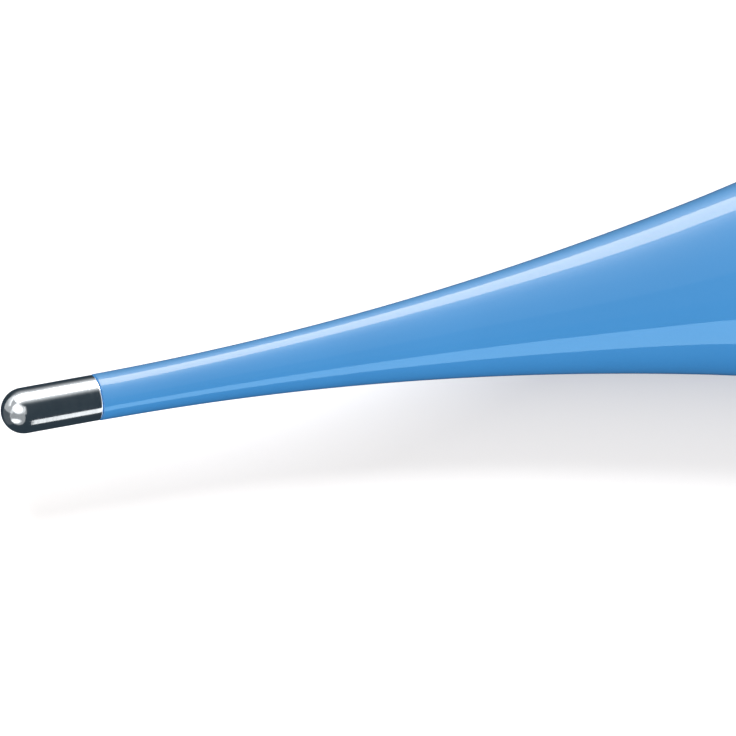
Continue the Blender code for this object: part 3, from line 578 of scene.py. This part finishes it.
def clear_plastic():
    """Polished clear acrylic, very slightly uneven in its gloss."""
    look, tree, shader = new_look("clear_acrylic")
    cloud = object_noise(tree, 120, 2.0)
    tint = blended(tree, ranged(tree, cloud, 0, 1), (0.97, 0.985, 0.99), (0.98, 0.99, 1.0))
    tree.links.new(tint, shader.inputs["Base Color"])
    tree.links.new(ranged(tree, cloud, 0.01, 0.03), shader.inputs["Roughness"])
    shader.inputs["Transmission Weight"].default_value = 1.0
    shader.inputs["IOR"].default_value = 1.49
    return look


def masked_cells(tree, scale, size):
    """1 inside small squares scattered one to a cell, 0 between them."""
    coordinates = tree.nodes.new("ShaderNodeTexCoord")
    cells = tree.nodes.new("ShaderNodeTexVoronoi")
    cells.distance = "CHEBYCHEV"
    cells.inputs["Scale"].default_value = scale
    cells.inputs["Randomness"].default_value = 0.6
    tree.links.new(coordinates.outputs["Object"], cells.inputs["Vector"])
    inside = tree.nodes.new("ShaderNodeMath")
    inside.operation = "LESS_THAN"
    inside.inputs[1].default_value = size
    tree.links.new(cells.outputs["Distance"], inside.inputs[0])
    return inside.outputs["Value"]


def bands(tree, direction, scale, distortion):
    """Soft-edged stripes in the object's own metres."""
    coordinates = tree.nodes.new("ShaderNodeTexCoord")
    wave = tree.nodes.new("ShaderNodeTexWave")
    wave.bands_direction = direction
    wave.inputs["Scale"].default_value = scale
    wave.inputs["Distortion"].default_value = distortion
    wave.inputs["Detail"].default_value = 0.0
    tree.links.new(coordinates.outputs["Object"], wave.inputs["Vector"])
    return wave.outputs["Fac"]


def solder_mask():
    """Green lacquer over copper tracks, with tinned pads."""
    look, tree, shader = new_look("green_solder_mask")
    tracks = ranged(tree, bands(tree, "Y", 380, 1.5), 0, 1)
    green = blended(tree, tracks, (0.010, 0.105, 0.045), (0.020, 0.170, 0.075))
    pads = masked_cells(tree, 330, 0.11)
    tree.links.new(blended_links(tree, pads, green, (0.72, 0.71, 0.68)), shader.inputs["Base Color"])
    tree.links.new(pads, shader.inputs["Metallic"])
    fine = object_noise(tree, 4000, 2.0)
    tree.links.new(ranged(tree, fine, 0.28, 0.36), shader.inputs["Roughness"])
    bump(tree, shader, tracks, 0.25, 0.00002)
    return look


def striped_elastomer():
    """Rubber strip with a conducting black layer between every two clear ones."""
    look, tree, shader = new_look("striped_elastomer")
    layers = blended(tree, bands(tree, "X", 1600, 0.0), (0.03, 0.03, 0.03), (0.42, 0.42, 0.43))
    tree.links.new(layers, shader.inputs["Base Color"])
    fine = object_noise(tree, 5000, 2.0)
    tree.links.new(ranged(tree, fine, 0.5, 0.62), shader.inputs["Roughness"])
    return look


# Pieces


def mouth_sections(station, inwards):
    """The small rounding where the body's skin meets another piece; inwards is 1 or -1 along X."""
    sections = []
    for share, rest in MOUTH_ROUND:
        sections.append(body_section(station + inwards * EDGE_ROUND * share, EDGE_ROUND * rest))
    return sections


def make_shell(look):
    spigot = [section(s, SPIGOT_RADIUS, SPIGOT_RADIUS) for s in (SPIGOT_START, COLLAR_START)]
    lip = mouth_sections(COLLAR_START, 1)
    count = round((SEAM - COLLAR_START) / RING_PITCH)
    main_start = COLLAR_START + EDGE_ROUND * MOUTH_ROUND_END
    main = [body_section(s) for s in evenly(main_start, SEAM - EDGE_ROUND, count)]
    end = mouth_sections(SEAM, -1)[::-1]
    shell = to_object("shell_blue_body", loft(spigot + lip + main + end), look)
    carve(shell, shell_hollow())
    above = BUTTON_TOP + WALL
    carve(shell, lipped_tool(window_outline, RECESS_FLOOR))
    carve(shell, prism(window_outline(WINDOW_LEDGE), CEILING - WALL, above))
    carve(shell, lipped_tool(lambda inset: button_outline(-inset), CEILING - WALL))
    carve(shell, prism(button_outline(BUTTON_FLANGE + FIT), CEILING - WALL, RECESS_FLOOR))
    carve(shell, prism(button_outline(SEAL_GROOVE), RECESS_FLOOR - WALL / 4, SEAL_GROOVE_TOP))
    shade(shell)
    belong(shell, "shell", "shell_blue", "body_shell")
    return shell


def shell_hollow():
    sections = []
    for station in evenly(SPIGOT_START - FIT, SEAM + WALL, 60):
        near = min(station, WINDOW_CENTRE)
        across = min(CAVITY_HALF_WIDTH, max(CHANNEL_RADIUS, half_width(near) - WALL))
        up = min(CAVITY_HALF_HEIGHT, max(CHANNEL_RADIUS, half_thickness(near) - WALL))
        sections.append(section(station, across, up, exponent(station), count=64))
    return loft(sections)


def make_cap():
    """The drawn cup: a round nose, a straight side and a small rolled edge at its mouth."""
    inner = CAP_RADIUS - CAP_WALL
    quarter = evenly(0.0, math.pi / 2, 24)
    outer_dome = [(CAP_RADIUS * (1 - math.cos(a)), CAP_RADIUS * math.sin(a)) for a in quarter]
    inner_dome = [(CAP_RADIUS - inner * math.cos(a), inner * math.sin(a)) for a in quarter]
    sides = [(s, CAP_RADIUS) for s in evenly(CAP_SIDE_START, CAP_LENGTH - CAP_ROLL, 16)]
    rim_start = CAP_LENGTH - CAP_ROLL
    rim_radius = CAP_RADIUS - CAP_ROLL
    turns = evenly(0.0, math.pi / 2, 6)[1:]
    rim = [(rim_start + CAP_ROLL * math.sin(a), rim_radius + CAP_ROLL * math.cos(a)) for a in turns]
    profile = outer_dome + sides + rim + [(CAP_LENGTH, inner)] + inner_dome[::-1]
    cap = to_object("tip_steel_cap", turned_about_axis(profile, 128), steel())
    shade(cap, sharp_angle=50)
    belong(cap, "shell", "tip_steel", "metal_tip_cap")
    return cap


def make_window():
    """The lens: flat below, its top following the shell's face, with a rounded rim."""
    bottom = WINDOW_LOW.z
    rings = [[(x, y, bottom) for x, y in window_outline(LENS_CHAMFER)]]
    rings.append([(x, y, bottom + LENS_CHAMFER) for x, y in window_outline(0)])
    for angle in evenly(0.0, math.pi / 2, 5):
        inset = LIP * (1 - math.cos(angle))
        drop = LENS_SINK + LIP * (1 - math.sin(angle))
        rings.append([(x, y, surface_height(x, y) - drop) for x, y in window_outline(inset)])
    for inset in evenly(LIP, LENS_MIDDLE, 14)[1:]:
        rings.append([(x, y, surface_height(x, y) - LENS_SINK) for x, y in window_outline(inset)])
    lens = to_object("window_lens", loft(rings), clear_plastic())
    shade(lens)
    belong(lens, "shell", "window_clear", "display_window")


def make_window_print():
    """The silver-grey band printed on the underside of the lens, round the display."""
    top = WINDOW_LOW.z - PRINT_SINK
    look = mottled("silver_window_print", (0.66, 0.68, 0.70), (0.72, 0.74, 0.76), 0.38, 900, 0.3)
    outer = prism(window_outline(PRINT_OUTER_INSET), top - PRINT_THICKNESS, top)
    band = to_object("window_print", outer, look)
    carve(band, prism(window_outline(PRINT_INNER_INSET), WINDOW_LOW.z - WALL, WINDOW_LOW.z + WALL))
    belong(band, "shell", "frame_white")


def make_button():
    """A stadium-shaped cap with a rounded rim, a shallow dish and the flange that holds it in."""
    levels = [(BUTTON_LOW.z, BUTTON_FLANGE - BUTTON_CHAMFER)]
    levels += [(BUTTON_LOW.z + BUTTON_CHAMFER, BUTTON_FLANGE)]
    levels += [(BUTTON_FLANGE_TOP, BUTTON_FLANGE), (BUTTON_FLANGE_TOP, 0.0)]
    for angle in evenly(0.0, math.pi / 2, 7):
        drop = BUTTON_RIM * (1 - math.sin(angle))
        levels.append((BUTTON_TOP - drop, -BUTTON_RIM * (1 - math.cos(angle))))
    for share in evenly(0.0, 1.0, 10)[1:]:
        dip = BUTTON_DISH * math.sin(math.pi / 2 * share) ** 2
        levels.append((BUTTON_TOP - dip, -BUTTON_RIM - (BUTTON_MIDDLE - BUTTON_RIM) * share))
    rings = [[(x, y, height) for x, y in button_outline(grow)] for height, grow in levels]
    button = to_object("button_white_cap", loft(rings), satin_white())
    shade(button)
    belong(button, "button", "button_white", "power_button")


def plug_section(station, depth=0.0):
    return section(station, SPIGOT_HALF_WIDTH - depth, SPIGOT_HALF_HEIGHT - depth, BODY_EXPONENT)


def make_cover(look):
    """The rounded tail with three grip ribs, and the spigot with its ring groove."""
    low, high = RING_GROOVE
    sections = [plug_section(COVER_SPIGOT_START, EDGE_ROUND)]
    sections += [plug_section(COVER_SPIGOT_START + EDGE_ROUND), plug_section(low)]
    sections += [plug_section(low, RING_DEPTH), plug_section(high, RING_DEPTH), plug_section(high)]
    sections.append(plug_section(COVER_START))
    sections += mouth_sections(COVER_START, 1)
    for turn in evenly(0.0, math.pi / 2, 40)[1:]:
        sections.append(body_section(COVER_START + (LENGTH - COVER_START) * math.sin(turn)))
    cover = to_object("cover_blue_tail", loft(sections), look)
    hollow = []
    for station, share in COVER_HOLLOW_SHARES:
        across = COVER_HOLLOW["half_width"] * share
        up = COVER_HOLLOW["half_height"] * share
        hollow.append(section(station, across, up, BODY_EXPONENT))
    carve(cover, loft(hollow))
    for station in RIB_STATIONS:
        carve(cover, rib(station), "UNION")
    shade(cover, sharp_angle=30)
    belong(cover, "cover", "cover_blue", "battery_cover")
    return cover


def make_cover_seal():
    """The rubber ring in the spigot's groove."""
    low, high = RING_GROOVE
    inner = [size - RING_DEPTH + FIT / 2 for size in (SPIGOT_HALF_WIDTH, SPIGOT_HALF_HEIGHT)]
    outer = [size + RING_THICKNESS for size in inner]
    ring = swept_ring((low + high) / 2, inner, outer, (high - low - FIT) / 2)
    rubber = mottled("seal_rubber_look", (0.030, 0.030, 0.033), (0.050, 0.050, 0.054), 0.55, 1500, 0.0, 0.2)
    seal = to_object("cover_ring_seal", ring, rubber)
    shade(seal)
    belong(seal, "cover", "seal_rubber", "cover_seal")


def rib(station):
    """A grip rib: a bar across the cover with rounded ends."""
    height = AXIS_HEIGHT + half_thickness(station) + RIB_RISE - RIB_RADIUS
    rings = []
    quarter = [math.radians(degrees) for degrees in RIB_END_DEGREES]
    ends = [(-RIB_HALF_LENGTH - RIB_RADIUS * math.cos(a), RIB_RADIUS * math.sin(a)) for a in quarter]
    ends += [(-y, radius) for y, radius in ends[::-1]]
    for y, radius in ends:
        turn = [2 * math.pi * index / RIB_SIDES for index in range(RIB_SIDES)]
        circle = [(radius * math.cos(a), radius * math.sin(a)) for a in turn]
        rings.append([(x_at(station) + x, y, height + z) for x, z in circle])
    return loft(rings)


def stroke(shape, start, end, width):
    """One display segment: a bar with pointed ends."""
    along = end - start
    ahead = along.normalized()
    side = Vector((-ahead.y, ahead.x)) * width / 2
    near = start + ahead * STROKE_GAP
    far = end - ahead * STROKE_GAP
    point = ahead * width / 2
    outline = (near, near + point + side, far - point + side, far, far - point - side, near + point - side)
    shape.faces.new([shape.verts.new((spot.x, spot.y, FILM_TOP)) for spot in outline])


def character(shape, name, left, bottom, width, height, thickness):
    """The lit segments of one character, leaning a little to the right."""
    for segment in LIT_SEGMENTS[name]:
        ends = []
        for column, row in SEGMENT_ENDS[segment]:
            up = row * height / 2
            ends.append(Vector((left + column * width + up * DIGIT_SLANT, bottom + up)))
        stroke(shape, *ends, thickness)


def make_reading():
    """The liquid crystal's dark segments, on the front film."""
    shape = bmesh.new()
    left = x_at(WINDOW_CENTRE) + READING_START
    bottom = -DIGIT_HEIGHT / 2
    for name in READING:
        if name == ".":
            spot = Vector((left - (DIGIT_PITCH - DIGIT_WIDTH) / 2 - STROKE / 2, bottom))
            stroke(shape, spot, spot + Vector((POINT_LENGTH, 0)), STROKE)
            continue
        character(shape, name, left, bottom, DIGIT_WIDTH, DIGIT_HEIGHT, STROKE)
        left += DIGIT_PITCH
    unit_bottom = -bottom - UNIT_HEIGHT
    degree_bottom = -bottom - DEGREE_HEIGHT
    character(shape, "degree", left, degree_bottom, DEGREE_WIDTH, DEGREE_HEIGHT, UNIT_STROKE)
    character(shape, "C", left + DEGREE_PITCH, unit_bottom, UNIT_WIDTH, UNIT_HEIGHT, UNIT_STROKE)
    made = bmesh.ops.extrude_face_region(shape, geom=shape.faces[:])["geom"]
    top = [item for item in made if isinstance(item, bmesh.types.BMVert)]
    bmesh.ops.translate(shape, verts=top, vec=(0, 0, INK_THICKNESS))
    ink = mottled("liquid_crystal_dark", (0.012, 0.016, 0.018), (0.020, 0.025, 0.026), 0.30, 800)
    reading = to_object("display_reading", shape, ink)
    belong(reading, "tray", "lcd_polariser")


def make_cell():
    """The button cell, with a crimped edge and a raised cap on its underside."""
    bottom, top = CELL_LOW.z, CELL_HIGH.z
    radius = (CELL_HIGH.x - CELL_LOW.x) / 2
    cap = radius - CELL_CAP_INSET
    step = bottom + CELL_CAP_RISE
    edge = radius - CELL_CRIMP
    profile = [(bottom, CELL_TINY), (bottom, cap - CELL_ROUND), (bottom + CELL_ROUND, cap), (step, cap)]
    profile += [(step + CELL_TINY, cap + CELL_GROOVE), (step, edge)]
    for end, start, finish in ((step + CELL_CRIMP, -90, 0), (top - CELL_CRIMP, 0, 90)):
        for angle in evenly(math.radians(start), math.radians(finish), 6):
            profile.append((end + CELL_CRIMP * math.sin(angle), edge + CELL_CRIMP * math.cos(angle)))
    profile.append((top, CELL_TINY))
    look = mottled("cell_nickel_look", (0.62, 0.61, 0.58), (0.70, 0.69, 0.66), 0.24, 2500, 1.0, 0.1)
    shape = turned_upright(profile, (CELL_LOW + CELL_HIGH) / 2, 96)
    cell = to_object("cell_can", shape, look)
    shade(cell)
    belong(cell, "tray", "cell_nickel", "button_cell")


def dress_cad_nodes():
    """Gives every CAD node that no finer piece stands for a material of its own kind."""
    white = mottled("white_moulding", (0.78, 0.79, 0.78), (0.84, 0.85, 0.84), 0.42, 500, 0.0, 0.15)
    rubber = mottled("black_silicone", (0.028, 0.028, 0.030), (0.045, 0.045, 0.048), 0.6, 1500, 0.0, 0.2)
    nickel = mottled("nickel_plate", (0.66, 0.65, 0.62), (0.74, 0.73, 0.70), 0.22, 3000, 1.0, 0.1)
    plate = mottled("rolled_brass", (0.66, 0.47, 0.16), (0.76, 0.57, 0.24), 0.24, 1800, 1.0, 0.1)
    silver = mottled("silvered_ceramic", (0.66, 0.66, 0.63), (0.76, 0.76, 0.73), 0.42, 2200, 0.5, 0.2)
    epoxy = mottled("black_epoxy", (0.010, 0.010, 0.011), (0.022, 0.022, 0.024), 0.28, 900, 0.0, 0.3)
    nylon = mottled("black_nylon", (0.022, 0.022, 0.024), (0.038, 0.038, 0.041), 0.45, 1500, 0.0, 0.2)
    tan = mottled("tan_ceramic", (0.46, 0.34, 0.21), (0.56, 0.43, 0.28), 0.4, 2500, 0.0, 0.1)
    dark_tan = mottled("tan_ceramic_dark", (0.42, 0.31, 0.19), (0.52, 0.39, 0.25), 0.4, 2500, 0.0, 0.1)
    looks = {
        "tip_potting": mottled("cream_resin", (0.74, 0.72, 0.66), (0.82, 0.80, 0.75), 0.5, 1200, 0.0, 0.2),
        "thermistor_bead": mottled("dark_glass", (0.05, 0.04, 0.035), (0.09, 0.08, 0.07), 0.12, 900),
        "sensor_lead_left": mottled("red_enamel", (0.42, 0.06, 0.04), (0.52, 0.09, 0.06), 0.35, 900),
        "sensor_lead_right": mottled("white_enamel", (0.70, 0.70, 0.68), (0.78, 0.78, 0.76), 0.35, 900),
        "window_gasket": rubber,
        "button_seal": rubber,
        "electronics_tray": white,
        "lcd_frame": white,
        "switch_plunger": white,
        "circuit_board": solder_mask(),
        "controller_chip": epoxy,
        "reference_resistor": mottled("black_glaze", (0.02, 0.02, 0.025), (0.04, 0.04, 0.05), 0.35, 2500),
        "filter_capacitor": tan,
        "supply_capacitor": dark_tan,
        "lcd_rear_polariser": mottled("reflector_film", (0.50, 0.55, 0.51), (0.58, 0.62, 0.58), 0.3, 2500),
        "lcd_glass": mottled("cell_glass", (0.40, 0.45, 0.41), (0.46, 0.51, 0.47), 0.06, 300),
        "lcd_front_polariser": mottled("display_film", (0.47, 0.53, 0.46), (0.52, 0.58, 0.51), 0.16, 260),
        "zebra_strip_left": striped_elastomer(),
        "zebra_strip_right": striped_elastomer(),
        "switch_body": nylon,
        "buzzer_plate": plate,
        "buzzer_ceramic": silver,
        "buzzer_spring_centre": nickel,
        "buzzer_spring_edge": nickel,
        "battery_contact_negative": nickel,
        "battery_contact_positive": nickel,
    }
    for name, look in looks.items():
        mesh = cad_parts[name].data
        mesh.materials.clear()
        mesh.materials.append(look)


# Studio


def view_axes():
    """Unit vectors of the photograph's view: right, up, back to the camera, and square to the axis."""
    back = Vector(
        (
            -math.sin(CAMERA_TURN),
            math.cos(CAMERA_TURN) * math.sin(CAMERA_TILT),
            math.cos(CAMERA_TURN) * math.cos(CAMERA_TILT),
        )
    )
    along = Vector((1, 0, 0))
    along = (along - back * along.dot(back)).normalized()
    above = back.cross(along)
    right = along * math.cos(AXIS_RISE) - above * math.sin(AXIS_RISE)
    up = along * math.sin(AXIS_RISE) + above * math.cos(AXIS_RISE)
    return right, up, back, above


def make_camera():
    right, up, back, above = view_axes()
    target = Vector((x_at(VIEW_STATION), 0, AXIS_HEIGHT)) - above * VIEW_DROP
    data = bpy.data.cameras.new("camera")
    data.lens = LENS_MM
    data.sensor_width = SENSOR_MM
    data.clip_start = 0.01
    data.clip_end = 100
    camera = bpy.data.objects.new("camera", data)
    bpy.context.collection.objects.link(camera)
    turn = Matrix((right, up, back)).transposed().to_4x4()
    distance = VIEW_WIDTH * LENS_MM / SENSOR_MM
    camera.matrix_world = Matrix.Translation(target + back * distance) @ turn
    bpy.context.scene.camera = camera


def area_light(name, place, aim, size, radiance, tint=WHITE):
    """A rectangle of light of a given radiance, its first side level, unseen by the camera."""
    data = bpy.data.lights.new(name, "AREA")
    data.shape = "RECTANGLE"
    data.size, data.size_y = size
    data.energy = radiance * math.pi * size[0] * size[1]
    data.color = tint
    light = bpy.data.objects.new(name, data)
    bpy.context.collection.objects.link(light)
    turn = (aim - place).to_track_quat("-Z", "Y").to_matrix().to_4x4()
    light.matrix_world = Matrix.Translation(place) @ turn
    light.visible_camera = False
    return light


def reflected_only(light, lit):
    """Leaves a light only its reflections in the pieces of a light-linking set."""
    light.visible_diffuse = False
    light.light_linking.receiver_collection = lit
    light.light_linking.blocker_collection = lit


def strip_light(name, low, high, radiance, lit, tint=WHITE, ends=STRIP_ENDS):
    """A long light along X that only gives reflections, between two angles up from the view direction."""
    middle = CAMERA_TILT + math.radians(low + high) / 2
    width = 2 * STRIP_REACH * math.tan(math.radians(high - low) / 2)
    aim = Vector((x_at(VIEW_STATION), 0, AXIS_HEIGHT))
    place = aim + Vector((0, math.sin(middle), math.cos(middle))) * STRIP_REACH
    light = area_light(name, place, aim, (ends[1] - ends[0], width), radiance, tint)
    light.location.x += (ends[0] + ends[1]) / 2
    reflected_only(light, lit)


def make_upper_fades(lit):
    """Narrow strips that fade step by step away from both edges of the upper strip."""
    for side, (edge, reach, peak) in UPPER_FADES.items():
        for index in range(FADE_STEPS):
            share = (index + 0.5) / FADE_STEPS
            angles = sorted(edge + reach * step / FADE_STEPS for step in (index, index + 1))
            radiance = peak * (1 - share) ** FADE_POWER
            strip_light(f"upper_fade_{side}_{index + 1}", *angles, radiance, lit)


def make_veil(lit):
    """Broad dim cards that lay a thin pale sheen over the blue plastic alone."""
    for index, (high, low, radiance) in enumerate(VEIL_BANDS):
        strip_light(f"veil_{index + 1}", low, high, radiance, lit)


def end_card(name, turns, rises, shape, radiance, lit):
    """A card off the tip's end, facing the middle of the cap's dome."""
    dome = Vector((x_at(CAP_RADIUS), 0, AXIS_HEIGHT))
    turn = math.radians(sum(turns) / 2)
    rise = math.radians(sum(rises) / 2)
    flat = Vector((-math.cos(turn), 0, math.sin(turn)))
    ahead = flat * math.cos(rise) + Vector((0, math.sin(rise), 0))
    across = Vector((0, math.cos(rise), 0)) - flat * math.sin(rise)
    spans = [math.radians(high - low) for low, high in (rises, turns)]
    size = [2 * STRIP_REACH * math.tan(span / 2) for span in spans]
    place = dome + ahead * STRIP_REACH
    card = area_light(name, place, dome, size, radiance)
    card.data.shape = shape
    axes = Matrix((across, ahead.cross(across), ahead)).transposed().to_4x4()
    card.matrix_world = Matrix.Translation(place) @ axes
    reflected_only(card, lit)


def make_cap_cards(lit):
    """Pale cards and bright spots for the cap's dome, and one card past its mouth for the rolled edge."""
    for index, card in enumerate(END_CARDS):
        end_card(f"end_card_{index + 1}", *card, lit)
    mouth = Vector((x_at(CAP_LENGTH), 0, AXIS_HEIGHT))
    beyond = mouth + Vector((STRIP_REACH, 0, 0))
    size = (RIM_CARD_SIDE, RIM_CARD_SIDE)
    reflected_only(area_light("rim_card", beyond, mouth, size, RIM_CARD_RADIANCE), lit)


def make_floor_key(only_floor):
    """Lights the floor alone, from the picture's far side, so that the shadow falls towards the viewer."""
    aim = Vector((0, 0, 0))
    place = aim + KEY_DIRECTION.normalized() * KEY_REACH
    light = area_light("floor_key", place, aim, KEY_SIZE, KEY_RADIANCE, KEY_TINT)
    light.light_linking.receiver_collection = only_floor


def make_world():
    """White to the camera, brighter above than below to diffuse light, and dim in reflections."""
    world = bpy.data.worlds.new("studio")
    world.use_nodes = True
    tree = world.node_tree
    background = tree.nodes["Background"]
    path = tree.nodes.new("ShaderNodeLightPath")
    direction = tree.nodes.new("ShaderNodeTexCoord")
    towards = tree.nodes.new("ShaderNodeVectorMath")
    towards.operation = "DOT_PRODUCT"
    towards.inputs[1].default_value = BRIGHT_SIDE
    share = tree.nodes.new("ShaderNodeMapRange")
    share.inputs["From Min"].default_value = BRIGHT_RANGE[0]
    share.inputs["From Max"].default_value = BRIGHT_RANGE[1]
    tree.links.new(direction.outputs["Generated"], towards.inputs[0])
    tree.links.new(towards.outputs["Value"], share.inputs["Value"])
    around = blended(tree, share.outputs["Result"], BELOW, ABOVE)
    mirrored = tree.nodes.new("ShaderNodeMath")
    mirrored.operation = "MULTIPLY"
    tree.links.new(path.outputs["Is Glossy Ray"], mirrored.inputs[0])
    tree.links.new(path.outputs["Is Reflection Ray"], mirrored.inputs[1])
    seen = blended_links(tree, path.outputs["Is Camera Ray"], around, (1, 1, 1))
    final = blended_links(tree, mirrored.outputs["Value"], seen, SURROUND)
    tree.links.new(final, background.inputs["Color"])
    background.inputs["Strength"].default_value = 1.0
    bpy.context.scene.world = world


def make_floor():
    shape = bmesh.new()
    bmesh.ops.create_grid(shape, x_segments=1, y_segments=1, size=FLOOR_HALF)
    look, tree, shader = new_look("pale_floor")
    grain = object_noise(tree, 12, 2.0)
    tint = blended(tree, grain, (0.91, 0.87, 0.84), (0.93, 0.89, 0.86))
    tree.links.new(tint, shader.inputs["Base Color"])
    shader.inputs["Roughness"].default_value = 0.9
    shader.inputs["Specular IOR Level"].default_value = 0.0
    floor = to_object("floor", shape, look)
    floor.visible_glossy = False
    floor.visible_diffuse = False
    return floor


def linked_set(name, things, state):
    """A light-linking set that includes or excludes some objects."""
    group = bpy.data.collections.new(name)
    for thing in things:
        group.objects.link(thing)
    for entry in group.collection_objects:
        entry.light_linking.link_state = state
    return group


def make_studio(blue_pieces, cap):
    bpy.context.scene.view_settings.view_transform = "Standard"
    make_world()
    floor = make_floor()
    make_upper_fades(linked_set("all_but_floor", [floor], "EXCLUDE"))
    all_but_cap = linked_set("all_but_cap", [floor, cap], "EXCLUDE")
    strip_light("upper_strip", *UPPER_STRIP, UPPER_RADIANCE, all_but_cap, UPPER_TINT)
    strip_light("lower_strip", *LOWER_STRIP, LOWER_RADIANCE, all_but_cap, LOWER_TINT)
    cap_alone = linked_set("cap_alone", [cap], "INCLUDE")
    strip_light("cap_upper_strip", *UPPER_STRIP, UPPER_RADIANCE, cap_alone, ends=CAP_UPPER_ENDS)
    strip_light("cap_lower_strip", *CAP_LOWER_STRIP, CAP_LOWER_RADIANCE, cap_alone, ends=CAP_LOWER_ENDS)
    make_cap_cards(cap_alone)
    make_veil(linked_set("blue_pieces", blue_pieces, "INCLUDE"))
    make_floor_key(linked_set("floor_alone", [floor], "INCLUDE"))


make_camera()
blue = blue_plastic()
blue_shell = make_shell(blue)
blue_cover = make_cover(blue)
make_cover_seal()
steel_cap = make_cap()
make_window()
make_window_print()
make_button()
make_reading()
make_cell()
dress_cad_nodes()
make_studio([blue_shell, blue_cover], steel_cap)
